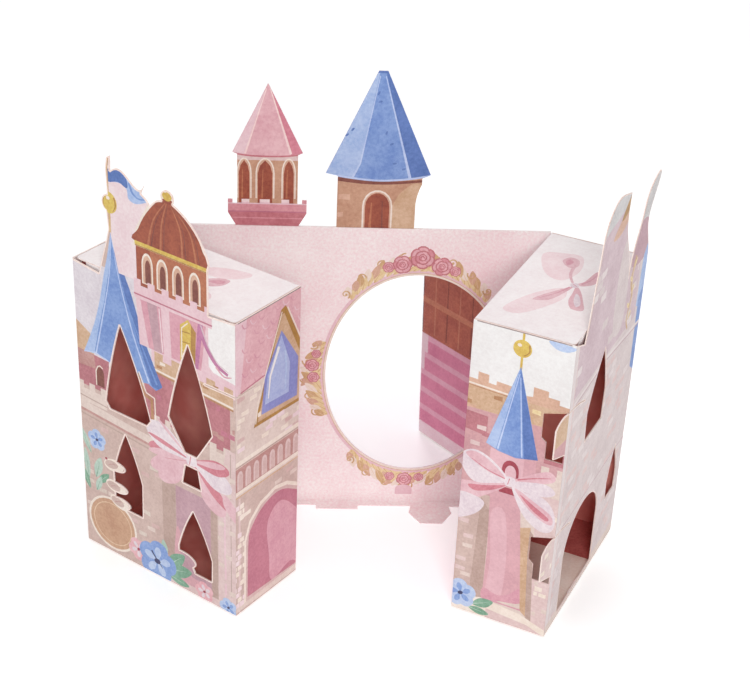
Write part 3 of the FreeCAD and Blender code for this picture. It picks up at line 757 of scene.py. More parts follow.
    # plain gold disc with a ring, leaves and flowers
    s.append(("cream", oval(20.1, 19.6, 18.4, 17.8)))
    s.append(("disc", oval(20.1, 19.6, 16.9, 16.4)))
    s.append(("discLine", oval(20.1, 19.6, 14.6, 14.1)))
    s.append(("disc", oval(20.1, 19.6, 14.0, 13.5)))
    s += leafShape(6.0, 62.0, 17.0, 4.4, 116, "leafPale", "leaf")
    s += leafShape(3.4, 44.0, 20.0, 4.6, 96, "leafPale", "leaf")
    s += leafShape(9.0, 47.0, 15.0, 6.4, 74, "leafPale", "leaf")
    s += leafShape(10.6, 44.0, 12.0, 5.0, 46)
    s += leafShape(4.0, 37.0, 15.0, 4.4, 112, "leaf")
    s += leafShape(9.0, 38.0, 11.0, 4.6, 70, "leafPale", "leaf")
    s += blossom(10.9, 72.5, 6.8, "petalBlue", "ink", 20, "petalBlueDeep")
    for x, z, rx, turn in ((23.0, 60.5, 7.4, 10), (24.0, 46.5, 7.6, -6), (26.5, 37.0, 7.4, -12)):
        s.append(("cream", oval(x, z, rx, 4.1, turn)))
        s.append(("wall", oval(x - 1.8, z, rx * 0.66, 2.6, turn)))
        s += stroke("roseBrown", smooth([(x - 4.0, z - 1.0), (x - 0.4, z + 0.8), (x + 3.4, z + 1.0)], 3),
            0.5, 0.2)
    s.append(("darkRed", oval(17.4, 63.0, 0.9, 0.8)))
    s += blossom(39.4, 11.0, 7.6, "petalPink", "darkRed", 50, "bowPale")
    s += leafShape(60.0, 15.0, 12.0, 5.0, 98, "leafPale", "leaf")
    s += leafShape(61.0, 10.4, 18.0, 8.4, 44, "leaf")
    s += leafShape(60.0, 7.4, 20.0, 9.4, 18, "leaf")
    s += leafShape(62.0, 4.4, 15.0, 5.4, -6, "leaf")
    s += blossom(53.5, 9.4, 14.0, "petalBlueDeep", "ink", 8, "petalBlue")
    s += stroke("ink", smooth([(49.4, 15.0), (52.0, 11.6), (54.6, 9.0), (57.2, 6.2)], 3), 1.1, 0.4)
    s += blossom(88.0, 5.2, 6.6, "petalPink", "darkRed", 30, "bowPale")
    s += blossom(105.1, 2.8, 6.2, "petalBlue", "ink", 35, "petalBlueDeep")
    return s


printWall("left", "facade", facadeWall("left"), leftFacadeShapes(), "wall", rim=1.5)


# Left inner side: tiled roof, gold dormer with a pale pane, corbels and a rose arch
def leftInnerShapes():
    depth = card["depth"]["left"]
    s = [("wallPale", rectangle(-1, 95, 56, 142))]
    s.append(("roofPink", [(9.0, 183), (3.8, 141.5), (56, 141.5), (56, 183)]))
    s.append(("pinkPale", [(-1, 138), (4, 141.5), (9.2, 183), (-1, 183)]))
    for row in range(6):
        z = 178.0 - 7.0 * row
        for column in range(9):
            x = 8.0 + 6.4 * column + (3.2 if row % 2 else 0)
            if (row * 5 + column * 3) % 4 != 1:
                arc = [(x - 2.8, z + 1.6), (x - 1.6, z - 0.8), (x + 0.4, z - 1.5), (x + 2.4, z - 0.4)]
                s += stroke("pinkPale" if (row + column) % 2 else "pink", smooth(arc, 3), 0.9, 0.3)
    s += stroke("pinkDeep", [(4.0, 140.6), (21, 142.4), (54, 142.2)], 1.0, 0.6)
    s.append(("wallPale", [(24, 142), (38.7, 172), (54, 142)]))
    s.append(("goldDark", [(36.0, 175.2), (14.4, 114.4), (56, 113.0), (56, 140.5), (39.6, 176.4)]))
    s.append(("tan", [(36.0, 172.0), (17.4, 116.4), (54.6, 115.0), (54.6, 138.0), (38.4, 172.4)]))
    s.append(("violet", [(36.4, 163.0), (23.2, 141.0), (20.6, 119.6), (50.0, 117.6), (50.6, 141.2)]))
    s.append(("lilac", [(36.4, 160.4), (25.4, 140.4), (23.4, 124.4), (43.0, 123.0), (43.6, 141.0)]))
    s += stroke("sky", [(34.4, 154.0), (27.6, 139.6), (26.2, 127.0)], 2.2, 0.8)
    s += stroke("petalBlue", [(39.6, 150.0), (40.6, 140.6), (40.2, 126.0)], 1.4, 0.6)
    s += stroke("cream", [(36.6, 173.6), (18.0, 128.6), (16.0, 116.2)], 0.8)
    s += stroke("goldDark", [(39.4, 174.4), (54.8, 143.0)], 2.2)
    s += stroke("cream", [(41.2, 174.6), (56.0, 144.6)], 0.9)
    s += bricks(11, 1, 98, 53, 114, ["cream", "wallPale", "pinkMist", "brickRose"], 0.45)
    s += bricks(12, 1, 116, 20, 138, ["cream", "brickRose"], 0.4)
    s += stroke("cream", [(-1, 98.4), (56, 98.4)], 2.6)
    s += stroke("wallShade", [(-1, 96.4), (56, 96.4)], 0.8)
    s.append(("roseBrown", rectangle(-1, 80.5, 56, 95.6)))
    for i in range(8):
        x = 3.4 + 6.6 * i
        s.append(("wallRose", arch(x, 81.6, 2.2, 90.0, 93.4)))
        s.append(("brickRose", arch(x + 0.4, 81.6, 1.4, 88.6, 91.4)))
    s += stroke("cream", [(-1, 80.0), (56, 80.0)], 2.2)
    s += stroke("tan", [(-1, 77.4), (56, 77.4)], 1.0)
    s.append(("wall", rectangle(-1, -1, 56, 76.8)))
    s += bricks(13, 6, 62, 53, 77, ["cream", "brickRose", "wallPale"], 0.3)
    s.append(("cream", [(6.6, 2.0), (6.8, 46.0), (11.0, 57.5), (20.0, 65.0), (32.7, 68.4), (43.0, 66.2),
        (56, 58.0), (56, 2)]))
    s.append(("brickRose", [(8.2, 4.4), (8.4, 45.6), (12.4, 55.8), (20.8, 62.6), (32.4, 66.0), (42.6, 63.8),
        (56, 55.6), (56, 4.4)]))
    s.append(("pinkDeep", smooth([(9.6, 7.0), (10.2, 44.0), (13.6, 53.0), (21.6, 60.2), (32.4, 63.6),
        (42.0, 61.6), (56, 52.8)], 4) + [(56, 5.4)]))
    s.append(blob("pink", [(30, 6.4), (46, 10), (56, 5.8), (56, 34), (44, 52), (34, 56), (26, 46), (28, 24)]))
    s += stroke("wallRose", [(3.0, 0.0), (3.0, 76.0)], 1.6)
    # painted shadow of the gap under the lid's edge, along the top of the wall
    s += stroke("seam", [(2.0, 181.7), (56, 181.7)], 0.6)
    s += stroke("wallPale", [(-1, 3.0), (56, 2.4)], 3.4)
    s += bricks(14, -1, 4, 7, 74, ["cream", "pinkMist"], 0.4, (4, 3.6))
    return moved(s, lambda a, b: (depth - a, b))


printWall("left", "inner", sideWall("left", card["width"]), leftInnerShapes(), "wallPale")


# Right inner side: small tower under a blue spire, battlements and bow
def rightInnerShapes():
    s = [("skyGrey", rectangle(-1, 134, 58, 183))]
    s.append(blob("petalBlue", [(40.5, 181.4), (44.0, 177.6), (50.0, 177.2), (54.4, 180.6)]))
    leftTop = [(-1, 148.6), (4.8, 148.3), (4.8, 153.0), (10.7, 152.6), (10.7, 148.0), (14.9, 147.7),
        (14.9, 150.2), (23.8, 149.6)]
    s.append(("peach", [(30, 128), (-1, 128)] + leftTop + [(23.8, 144.6), (30, 144)]))
    rightTop = [(30, 146.2), (34.8, 147.0), (34.8, 152.8), (42.9, 152.4), (42.9, 149.2), (49.0, 148.9),
        (49.0, 146.2), (56, 145.8)]
    s.append(("peach", [(56, 128), (30, 128)] + rightTop))
    s.append(("tan", [(-1, 128), (-1, 144.4), (24, 142.8), (24, 128)]))
    s.append(("tan", [(30, 126), (30, 143), (56, 142.6), (56, 126)]))
    s += bricks(21, 0, 130, 23, 142, ["tanDark", "peach", "goldPale"], 0.3, (5.5, 3))
    s += bricks(22, 32, 128, 55, 141, ["tanDark", "peach", "goldPale"], 0.3, (5.5, 3))
    s += stroke("cream", [(-1, 145.6), (23.0, 144.2)], 1.0)
    s += stroke("tanDark", [(-1, 144.4), (23.0, 143.0)], 0.5)
    s.append(("roseDust", rectangle(-1, 80, 56, 131)))
    s.append(("roseWall", [(-1, 118), (12, 116), (12, 128), (-1, 129)]))
    s.append(("roseWall", rectangle(44, 110, 56, 128)))
    s += bricks(26, 0, 105, 18, 128, ["wallRose", "roseWall"], 0.12, (6, 3.4))
    s += stroke("gold", [(27.0, 183), (27.0, 160)], 1.3)
    s.append(("gold", oval(26.9, 172.7, 5.0, 5.0)))
    s += stroke("goldDark", smooth([(30.4, 175.4), (30.6, 171.4), (28.0, 168.8)], 4), 1.0, 0.4)
    s.append(("cream", oval(25.2, 174.4, 1.2, 0.9)))
    s.append(("roof", [(27.0, 162.4), (12.0, 112.2), (19.0, 109.4), (28.6, 108.0), (40.8, 110.4)]))
    s.append(("roofPale", [(26.8, 161.0), (12.0, 112.2), (17.6, 110.2)]))
    s.append(("roofDark", [(27.2, 160.0), (33.2, 109.0), (40.8, 110.4)]))
    s += stroke("roofLine", [(26.8, 158.0), (18.6, 110.6)], 0.4, 1.0)
    s += stroke("roofLine", [(27.4, 156.0), (32.0, 109.4)], 0.4, 0.9)
    s.append(("shaftPale", [(14.6, 92.0), (14.8, 110.4), (19.2, 109.2), (28.6, 107.8), (39.6, 109.8),
        (40.4, 92.0)]))
    s.append(("shaft", [(33.4, 92), (33.6, 108.6), (40.0, 109.9), (40.4, 92.0)]))
    s.append(("wallPale", crenels(43.0, 88, 56, 108, 4.5, 2)))
    # lower wall: beige at the left, a pink shaft, a tan band and a pale corner
    s.append(("wall", rectangle(-1, 8, 17.4, 80)))
    s.append(("wallShade", [(9.4, 12), (17.2, 12), (17.6, 70), (12.0, 78)]))
    s += bricks(23, 0, 20, 10, 64, ["wallPale", "wallRose"], 0.2)
    s.append(("shaft", [(17.1, 12.0), (17.8, 45.0), (16.5, 88.0), (33.2, 88.0), (36.3, 51.8), (39.4, 17.0)]))
    s.append(blob("shaftPale", [(18.0, 70.0), (20.0, 40.0), (19.0, 16.0), (27.0, 14.0), (29.0, 40.0),
        (26.0, 72.0)]))
    s.append(blob("pink", [(17.4, 20.0), (25.0, 17.6), (32.0, 20.2), (38.6, 27.0), (39.4, 17.0),
        (28.0, 14.0), (17.2, 12.0)], 3))
    s.append(("tan", [(39.4, 12.0), (36.3, 51.8), (35.0, 66.0), (40.8, 68.0), (42.6, 50.0), (46.4, 6.0)]))
    s.append(("wallShade", [(42.8, 8.0), (40.4, 52.0), (40.6, 66.0), (42.6, 64.0), (44.0, 40.0),
        (46.6, 6.0)]))
    s.append(("wallRose", [(46.4, 2.0), (43.0, 60.0), (42.6, 90.0), (56, 90.0), (56, 0.0)]))
    s += bricks(24, 46, 8, 55, 86, ["wallPale", "cream"], 0.3, (5, 3.4))
    s.append(("cream", [(-1, 9.0), (17.0, 12.4), (39.6, 9.6), (56, 3.4), (56, -1), (-1, -1)]))
    s.append(("wallRose", [(20, 6.2), (44, 3.8), (56, -1), (20, -1)]))
    s += stroke("pink", [(17.2, 12.6), (39.6, 12.4)], 0.9)
    # painted shadow of the gap under the lid's edge, along the top of the wall
    s += stroke("seam", [(2.0, 181.7), (52, 181.7)], 0.6)
    # bow
    s.append(("darkRed", arch(26.6, 90.2, 4.7, 99.6, 105.6)))
    s.append(("bow", arch(26.8, 90.2, 3.1, 98.0, 102.6)))
    s.append(("darkRed", rectangle(21.4, 84.6, 31.8, 88.4)))
    s.append(blob("bow", [(26, 91), (13, 87.4), (-2, 84), (-2, 74.5), (8, 76), (20, 84.5)]))
    s.append(blob("bowDeep", [(25, 89.6), (13.8, 86.0), (4, 83.6), (8, 80.8), (17, 84.0)]))
    s.append(blob("bowPale", [(-2, 76.5), (8, 77.6), (14, 74.4), (9, 66.0), (-2, 61)]))
    s.append(blob("bowPale", [(26, 93.2), (16, 103), (6, 106.2), (-1, 101.5), (0.5, 93), (7, 86.5),
        (17, 88.5)]))
    s.append(blob("bow", [(24, 94.4), (14, 102.5), (6, 105.0), (1.5, 102.3), (9, 97.4), (17, 94.4)]))
    s += stroke("bowDeep", smooth([(24, 93.6), (14, 96.0), (5, 100.2)], 4), 0.8, 0.3)
    s.append(blob("bow", [(28.0, 93.4), (34, 98), (46.0, 105.2), (51, 103.6), (49.6, 99.4), (37, 94.4)]))
    s += stroke("bowDeep", smooth([(31, 95.2), (39, 98.6), (48.6, 101.8)], 4), 1.0, 0.4)
    s.append(blob("bowPale", [(28.5, 92.6), (36, 95.4), (47, 97.2), (52, 93.4), (47, 89.6), (36, 88.8)]))
    s.append(blob("bowPale", [(28.0, 91), (36, 88.6), (45, 88.8), (51, 84), (53.5, 76), (51.6, 69.0),
        (45.6, 67.5), (38, 72), (32.8, 79)]))
    s.append(blob("bow", [(30, 89.6), (41, 84.6), (50.8, 79.2), (51.8, 73.5), (46, 74.2), (36.6, 80.6)]))
    s.append(blob("bowDeep", [(33, 86.6), (42, 81.6), (49.6, 77.0), (48.0, 75.0), (40, 79.4)]))
    s.append(blob("bowPale", [(24.4, 89.8), (29.4, 90.2), (29.6, 95.0), (24.6, 95.2)]))
    s += stroke("bowDeep", [(25.8, 90.6), (26.6, 94.4)], 0.5)
    # flower and leaves at the foot
    s += leafShape(12.0, 6.4, 13.0, 6.4, 24, "leaf")
    s += leafShape(10.0, 3.6, 12.0, 4.8, -6, "leaf")
    s += blossom(4.6, 11.2, 9.4, "petalBlue", "ink", 25, "petalBlueDeep")
    return s


printWall("right", "inner", sideWall("right", card["width"]), rightInnerShapes(), "wallPale")


# Right facade, flat as (distance from the inner fold, height)
def rightFacadeShapes():
    s = [("mauveGrey", rectangle(-14, -1, 112, 262))]
    s.append(("mauve", [(0, 148), (100, 150), (96, 214), (64, 214), (58, 240), (24, 240), (0, 182)]))
    s.append(blob("mauveGrey", [(60, 160), (76, 156), (78, 186), (70, 210), (60, 206)]))
    s += bricks(34, 4, 150, 96, 212, ["mauvePale", "mauveGrey"], 0.22, (9, 5))
    # grey spire tips, with a gilded patch on the broad one
    s.append(("tipGrey", [(18, 232), (64, 240), (64, 262), (18, 262)]))
    s.append(blob("peach", [(36, 224), (48, 236), (54, 250), (60, 248), (60, 230), (50, 222)]))
    s.append(blob("goldDark", [(44, 232), (52, 246), (57, 250), (58, 240), (52, 232)]))
    s.append(("tipGrey", [(78, 214), (112, 208), (112, 240), (78, 240)]))
    s.append(blob("mauveDeep", [(82, 188), (106, 186), (104, 206), (92, 212), (84, 206)]))
    # slim ornament and the blue edge of a roof
    s += stroke("bronze", smooth([(88, 192), (84, 180), (88, 168), (84, 156), (88, 148)], 5), 2.4, 1.4)
    s += stroke("goldPale", smooth([(90, 190), (86.4, 180), (90, 168), (87, 157)], 5), 1.0, 0.5)
    for z, side in ((186, 1), (178, -1), (170, 1), (162, -1), (154, 1)):
        s += leafShape(86.4, z, 6.4, 2.8, 90 - side * 48, "goldPale", "bronze")
    s.append(("roofPale", [(100, 156), (112, 150), (112, 196), (103, 186)]))
    s.append(("roof", [(104, 116), (112, 110), (112, 166), (103, 160)]))
    # quiet masonry round the openings
    s += bricks(31, 4, 66, 100, 144, ["mauvePale", "wallRose"], 0.3, (8, 4.2))
    s += bricks(32, 2, 4, 14, 66, ["mauvePale", "wallRose"], 0.4, (7, 4.2))
    s += bricks(33, 80, 4, 110, 66, ["mauvePale", "wallRose"], 0.3, (7, 4.2))
    s += stroke("mauvePale", [(-1, 144), (56, 147), (112, 142)], 1.8)
    s += stroke("mauveDeep", [(-1, 142.4), (56, 145.4), (112, 140.4)], 0.6)
    s += stroke("mauveDeep", [(2, 66), (112, 66)], 0.5)
    s.append(("mauvePale", rectangle(-1, -1, 5.0, 182)))
    s += stroke("wallRose", [(5.4, 0), (5.4, 182)], 0.8)
    s.append(("wallPale", [(-1, -1), (112, -1), (112, 6), (-1, 6)]))
    # the lapping tabs carry on the wall of the side they are cut from
    s.append(("peach", rectangle(-14, 126, 0, 148)))
    s.append(("tan", rectangle(-14, 128, 0, 142)))
    s.append(("roseDust", rectangle(-14, 104, 0, 128)))
    s.append(("wallRose", rectangle(-14, 30, 0, 70)))
    s += bricks(35, -13, 34, -1, 66, ["wallPale", "cream"], 0.3, (5, 3.4))
    return moved(s, lambda a, b: (card["width"] - a, b))


levels = [card["curlStart"] + 7 * i for i in range(10)]
printWall("right", "facade", facadeWall("right"), rightFacadeShapes(), "mauveGrey", levels, 1.0)


# Right back wall, seen in the mirror: planked chestnut gateway above a flight of rose steps
def rightBackShapes():
    x, sill, half, rise, steps = 80.0, 74.0, 36.0, 13.0, 5
    s = [("lilacRose", rectangle(-1, -1, 112, 184))]
    s += bricks(41, 2, 4, 108, 56, ["blushDeep", "shaftPale"], 0.14, (9, 5))
    s += stroke("mauveDeep", [(-1, 24), (112, 24)], 0.8)
    s.append(("shaftPale", arch(x, sill, half + 4, 142.0, 181.0, 16)))
    s.append(("gate", arch(x, sill, half, 140.0, 177.0, 16)))
    for i in range(6):
        plank = x - 30.0 + 12.0 * i
        s += stroke("gateLine" if i % 2 else "gatePale", [(plank, sill + 2), (plank, 156.0)], 1.2, 0.5)
    for level in (96.0, 132.0):
        s.append(("gatePale", rectangle(x - half, level, x + half, level + 4)))
    for i in range(steps):
        low, reach = sill - rise * (i + 1), 24.0 + 3.0 * i
        s.append(("drape", rectangle(x - reach, low, x + reach, low + rise)))
        s.append(("drapePale", rectangle(x - reach, low + rise - 4.0, x + reach, low + rise)))
    return s


printWall("right", "back", backWall("right"), rightBackShapes(), "pinkPale")


def plainSideShapes(seed):
    # a hidden side: soft bricks, a cornice and a base course
    top = card["height"]
    s = bricks(seed, 1, 4, 109, top - 40, ["brickRose", "wallPale", "cream"], 0.2, (8, 4.2))
    s += stroke("cream", [(-1, top - 34), (112, top - 34)], 2.6)
    s += stroke("roseBrown", [(-1, top - 37), (112, top - 37)], 1.4)
    s += stroke("cream", [(-1, 2), (112, 2)], 3.4)
    return s


printWall("left", "back", backWall("left"), plainSideShapes(42), "pinkPale")
printWall("left", "outer", sideWall("left", 0.0), plainSideShapes(43), "wall")
printWall("right", "outer", sideWall("right", 0.0), plainSideShapes(44), "lilacMist")


# Right carton's floor: printed only towards the hinge
bare = [("bareCard", rectangle(35, -2, 112, 58))]
printWall("right", "floor", floorTop(), bare, "russet")


# Lids: a loose pink bow on white
def rightLidShapes():
    s = [blob("lidPink", [(20, 15), (26.5, 4.6), (46, 13), (50, 24), (36, 29), (20, 25)], 5)]
    s.append(blob("lidPink", [(58, 27), (72, 15), (92, 8), (94, 17), (80, 27), (66, 32)], 5))
    s.append(blob("bow", [(33.8, 20.6), (28.8, 16.6), (23.2, 19.2), (24.4, 24.4), (30.4, 26.2),
        (34.2, 24.2)]))
    s.append(blob("pink", [(32.6, 21.0), (28.8, 18.4), (25.4, 20.0), (28.0, 22.6)]))
    s += stroke("bow", smooth([(33.4, 24.6), (41.0, 25.6), (47.0, 28.2), (51.6, 31.3)], 4), 1.9, 1.2)
    s.append(blob("bow", [(50.6, 32.0), (45.6, 35.0), (34.0, 36.6), (32.0, 38.8), (44.0, 41.2),
        (50.6, 36.4)]))
    s += stroke("pink", smooth([(49.0, 34.6), (42.0, 37.6), (34.6, 38.4)], 4), 1.2, 0.4)
    s.append(blob("bow", [(53.4, 31.6), (61.0, 30.2), (73.0, 25.6), (76.6, 18.0), (69.6, 20.6),
        (60.0, 26.6)]))
    s += stroke("pink", smooth([(55.0, 30.2), (64.0, 26.6), (74.4, 20.0)], 4), 1.1, 0.3)
    s.append(blob("bow", [(52.6, 33.0), (61.0, 33.8), (69.0, 34.6), (76.4, 38.6), (75.2, 44.8), (66.0, 41.4),
        (56.6, 36.8)]))
    s.append(blob("bowPale", [(60.0, 35.6), (68.0, 37.0), (73.4, 40.2), (70.0, 41.4), (63.0, 38.6)]))
    s.append(("bowPale", oval(51.8, 31.8, 2.8, 2.4, 20, 14)))
    s += stroke("pink", [(50.8, 30.4), (52.6, 33.2)], 0.5)
    return s


def leftLidShapes():
    s = [blob("lidPink", [(58, 20), (66, 11), (82, 6), (84, 11), (74, 20)], 5)]
    s.append(("lidPink", oval(77.6, 38.0, 6.4, 3.4, 20)))
    s.append(blob("bow", [(68.0, 26.6), (73.2, 20.2), (79.4, 18.8), (79.6, 25.0), (74.4, 30.0)]))
    s.append(blob("pink", [(71.0, 26.0), (75.0, 21.6), (78.4, 21.2), (77.0, 25.4)]))
    s.append(blob("bow", [(66.0, 30.4), (58.0, 33.4), (50.0, 32.0), (52.0, 27.4), (60.0, 26.4)]))
    s.append(("bowPale", oval(66.4, 28.4, 2.6, 2.2, 20, 14)))
    return s


for side, shapes in (("left", leftLidShapes()), ("right", rightLidShapes())):
    printSheet(side + "_lid_print", side + "_lid", side + "_top", cartonMatrix(side), lidTop(side),
        shapes, "lidWhite")


millimetres = Matrix.Diagonal((0.001, 0.001, 0.001, 1.0))


# Panel front: blush wash, ring and ornaments round the mirror
def panelShapes():
    x, z, rx, rz = 41.0, 89.5, 51.5, 65.5
    s = [("pinkPale", oval(x, z, rx + 2.8, rz + 2.8, count=72))]
    s.append(("bronze", oval(x, z, rx + 1.0, rz + 1.0, count=72)))
    s.append(("cream", oval(x, z, rx + 0.7, rz + 0.7, count=72)))

    def garland(first, last, count, seed):
        # gilt leaves and curls that hug the window's rim between two angles
        chance = random.Random(seed)
        g = []
        for i in range(count):
            t = i / (count - 1)
            angle = math.radians(first + (last - first) * t)
            outward = math.degrees(math.atan2(math.sin(angle) / rz, math.cos(angle) / rx))
            reach = 8.4 * math.sin(math.pi * (0.1 + 0.8 * t)) + 1.0
            lean = 52 if t < 0.5 else -52
            tip = ("peach", "cream", "bronze")[i % 3]
            for lift, ink, vein in ((2.2, "goldPale", "bronze"), (4.6, tip, "discLine")):
                px, pz = x + (rx + lift) * math.cos(angle), z + (rz + lift) * math.sin(angle)
                g += leafShape(px, pz, reach + 3.0, 4.4, outward + lean + chance.uniform(-12, 12), ink, vein)
            if i % 3 == 1:
                c, n = math.cos(math.radians(outward)), math.sin(math.radians(outward))
                cx, cz = px + c * reach * 0.7, pz + n * reach * 0.7
                g += scroll("bronze", cx, cz, 2.8, chance.uniform(0, 360), 1.1, 0.9)
        return g

    s += garland(46, 134, 23, 1)
    s += garland(230, 302, 19, 2)
    s += garland(162, 204, 15, 3)
    s += garland(-18, 20, 13, 4)
    for cx, cz, radius, turn in (
        (31.0, 161.0, 6.0, 10), (53.0, 160.2, 6.2, 70), (42.0, 165.6, 7.6, 30),
        (23.4, 159.2, 3.6, 0), (60.6, 157.4, 3.4, 40),
        (38.6, 17.0, 5.0, 15), (29.8, 19.0, 3.2, 50), (47.2, 18.6, 3.2, 90),
        (-17.6, 95.0, 4.4, 20), (-16.8, 87.0, 3.8, 60), (-15.4, 102.6, 3.0, 0),
    ):
        s += roseShape(cx, cz, radius, turn)
    s.append(("pinkPale", arch(38.6, 6.0, 5.0, 10.0, 13.0)))
    return s


printSheet("panel_print", "front_sheet", "back_panel", millimetres, uprightAt(0.0, 0.5), panelShapes(),
    "panel")


# Towers on the rear board
def towerShapes():
    t = card["panelTop"]
    s = [("blush", rectangle(-114, -1, 114, t))]
    # rose tower
    x = -43.9
    windows = ((-59.2, -53.6), (-49.1, -41.3), (-35.2, -29.9))
    s.append(("towerTan", rectangle(x - 17, t + 12, x + 17, t + 43)))
    s.append(("wallRose", rectangle(x - 17, t + 38.6, x + 17, t + 43)))
    for x0, x1 in windows:
        mid, half = (x0 + x1) / 2, (x1 - x0) / 2
        foot, spring, top = t + 12.6, t + 31.0, t + 38.5
        s.append(("cream", arch(mid, foot, half + 1.2, spring, top + 1.5)))
        s.append(("peach", arch(mid, foot, half + 0.5, spring, top + 0.6)))
        rightLine = [(mid + half, foot), (mid + half, spring), (mid + half * 0.7, spring + 4.4)]
        leftLine = [(mid - half * 0.7, spring + 4.4), (mid - half, spring)]
        s.append(("chestnut", [(mid - half, foot)] + rightLine + [(mid, top)] + leftLine))
        s += stroke("chestnutPale", [(mid - half * 0.4, foot + 2), (mid - half * 0.3, spring + 2)], 1.1, 0.4)
    s.append(("balcony", rectangle(x - 22, t + 7, x + 22, t + 16)))
    s.append(("towerTan", rectangle(x - 16.2, t + 13.4, x + 16.2, t + 16.2)))
    for x0, x1 in windows:
        s.append(("chestnut", rectangle(x0, t + 13.2, x1, t + 16.4)))
    for dx, half in ((-11.8, 2.1), (-1.4, 2.7), (9.7, 2.1)):
        s.append(("blushDeep", rectangle(x + dx - half, t + 13, x + dx + half, t + 15.6)))
        s.append(("pinkPale", rectangle(x + dx - half, t + 13, x + dx + half, t + 13.8)))
    s += stroke("pinkPale", [(x - 21.2, t + 13.0), (x + 21.2, t + 13.0)], 0.7)
    s.append(("balconyDeep", [(x - 17.2, t - 1), (x + 17.2, t - 1), (x + 21.6, t + 8.4),
        (x - 21.6, t + 8.4)]))
    s += stroke("pinkDeep", [(x - 21.4, t + 8.2), (x + 21.4, t + 8.2)], 0.8)
    s += stroke("balcony", [(x - 19, t + 4.4), (x + 19, t + 4.4)], 0.7)
    eave, tip = t + 42.6, t + 82.4
    s.append(("roofPink", [(x - 19, eave + 0.6), (x, tip + 1), (x + 19, eave + 0.6), (x + 10, eave - 1.0),
        (x, eave - 1.4), (x - 10, eave - 1.0)]))
    s.append(("roofPinkDeep", [(x + 0.4, tip), (x + 19, eave + 0.6), (x + 12.4, eave - 0.8)]))
    s.append(("pinkPale", [(x - 0.4, tip), (x - 19, eave + 0.6), (x - 12.6, eave - 0.8)]))
    s += stroke("roofPinkLine", [(x - 0.8, tip - 3), (x - 12.0, eave - 0.4)], 0.4, 1.0)
    s += stroke("roofPinkLine", [(x + 1.2, tip - 3), (x + 12.4, eave - 0.2)], 0.5, 1.3)
    s += stroke("balconyDeep", smooth([(x - 18.8, eave - 0.2), (x - 8, eave - 1.6), (x + 8, eave - 1.6),
        (x + 18.8, eave - 0.2)], 4), 1.0)
    # blue tower
    x = 15.0
    eave, tip = t + 32.0, t + 90.8
    s.append(("towerTan", rectangle(x - 23, t - 1, x + 26, t + 31)))
    s.append(blob("tan", [(x + 6, t - 1), (x + 12, t + 20), (x + 24, t + 26), (x + 26, t - 1)]))
    s += stroke("brown", smooth([(x - 22, eave - 3.0), (x - 8, eave - 4.8), (x + 8, eave - 5.0),
        (x + 26, eave - 3.4)], 4), 2.6, 1.4)
    s += bricks(71, x - 21, t + 2, x - 8, t + 24, ["peach", "tan"], 0.2, (7, 3.6))
    s.append(("cream", arch(x + 0.6, t - 1, 8.2, t + 13, t + 22.6)))
    s.append(("peach", arch(x + 0.6, t - 1, 7.3, t + 13, t + 21.6)))
    s.append(("chestnut", arch(x + 0.6, t - 1, 6.6, t + 12.6, t + 20.8)))
    s += stroke("chestnutPale", [(x - 3.2, t - 1), (x - 2.6, t + 15)], 1.6, 0.6)
    s += stroke("brown", [(x + 3.6, t - 1), (x + 3.2, t + 16)], 0.8, 0.4)
    s.append(("roof", [(x - 28.4, eave), (x - 2, tip + 1), (x + 4, tip + 1), (x + 29.4, eave),
        (x + 18, eave - 2.6), (x + 2, eave - 4.2), (x - 14, eave - 2.6)]))
    s.append(("roofPale", [(x - 28.4, eave), (x - 1.6, tip), (x - 0.6, tip), (x - 9.6, eave + 6),
        (x - 13.6, eave - 2.8)]))
    s.append(("roofDark", [(x + 29.4, eave), (x + 3.2, tip), (x + 2.2, tip), (x + 13.6, eave + 14),
        (x + 18.0, eave - 2.6)]))
    s += stroke("roofLine", [(x - 0.6, tip - 3), (x - 9.4, eave + 6.2), (x - 13.4, eave - 2.4)], 0.4, 1.2)
    s += stroke("roofLine", [(x + 2.4, tip - 3), (x + 13.4, eave + 14), (x + 17.6, eave - 2.2)], 0.5, 1.6)
    s += stroke("roofLine", smooth([(x - 28.0, eave - 0.2), (x - 13.6, eave - 2.6), (x + 2, eave - 3.8),
        (x + 18, eave - 2.4), (x + 29.0, eave - 0.2)], 4), 1.1)
    s += stroke("roofDark", [(x - 1.6, tip - 0.6), (x + 3.8, tip - 0.6)], 1.4)
    for dx, dz, turn in ((-1, 58, 60), (0, 52, 20), (-14, 32, 50), (-17, 28, 40), (7, 22, 30), (9, 8, 10),
            (4, 30, 70), (14, 4, 20)):
        s.append(("roofDark", oval(x + dx, eave + dz * 0.8, 1.2, 0.6, turn, 8)))
    return s


printSheet("tower_print", "rear_board", "back_panel", millimetres, uprightAt(card["towerFront"], -1.0),
    towerShapes(), "pinkMist")


# Back of the rear board: the roofs in flat tones over quiet masonry
def rearShapes():
    t = card["panelTop"]
    s = bricks(81, -108, 8, 108, t - 14, ["blushDeep", "pinkPale", "mauvePale"], 0.16, (11, 6))
    s += stroke("wallRose", [(-114, t - 6), (114, t - 6)], 3.0)
    s += stroke("mauveDeep", [(-114, t - 9), (114, t - 9)], 0.8)
    s += stroke("wallRose", [(-114, 3), (114, 3)], 5.0)
    s.append(("balcony", rectangle(-66, t, -22, t + 16)))
    s.append(("towerTan", rectangle(-60.2, t + 13, -27.6, t + 43)))
    s.append(("towerTan", rectangle(-8, t, 42, t + 31)))
    s.append(("roofPink", [(-64, t + 42.4), (-43.9, t + 86), (-24, t + 42.4)]))
    s.append(("roof", [(-16, t + 31), (10, t + 96), (22, t + 96), (48, t + 31)]))
    s.append(("roofDark", [(-16, t + 31), (10, t + 96), (14, t + 96), (4, t + 31)]))
    return s


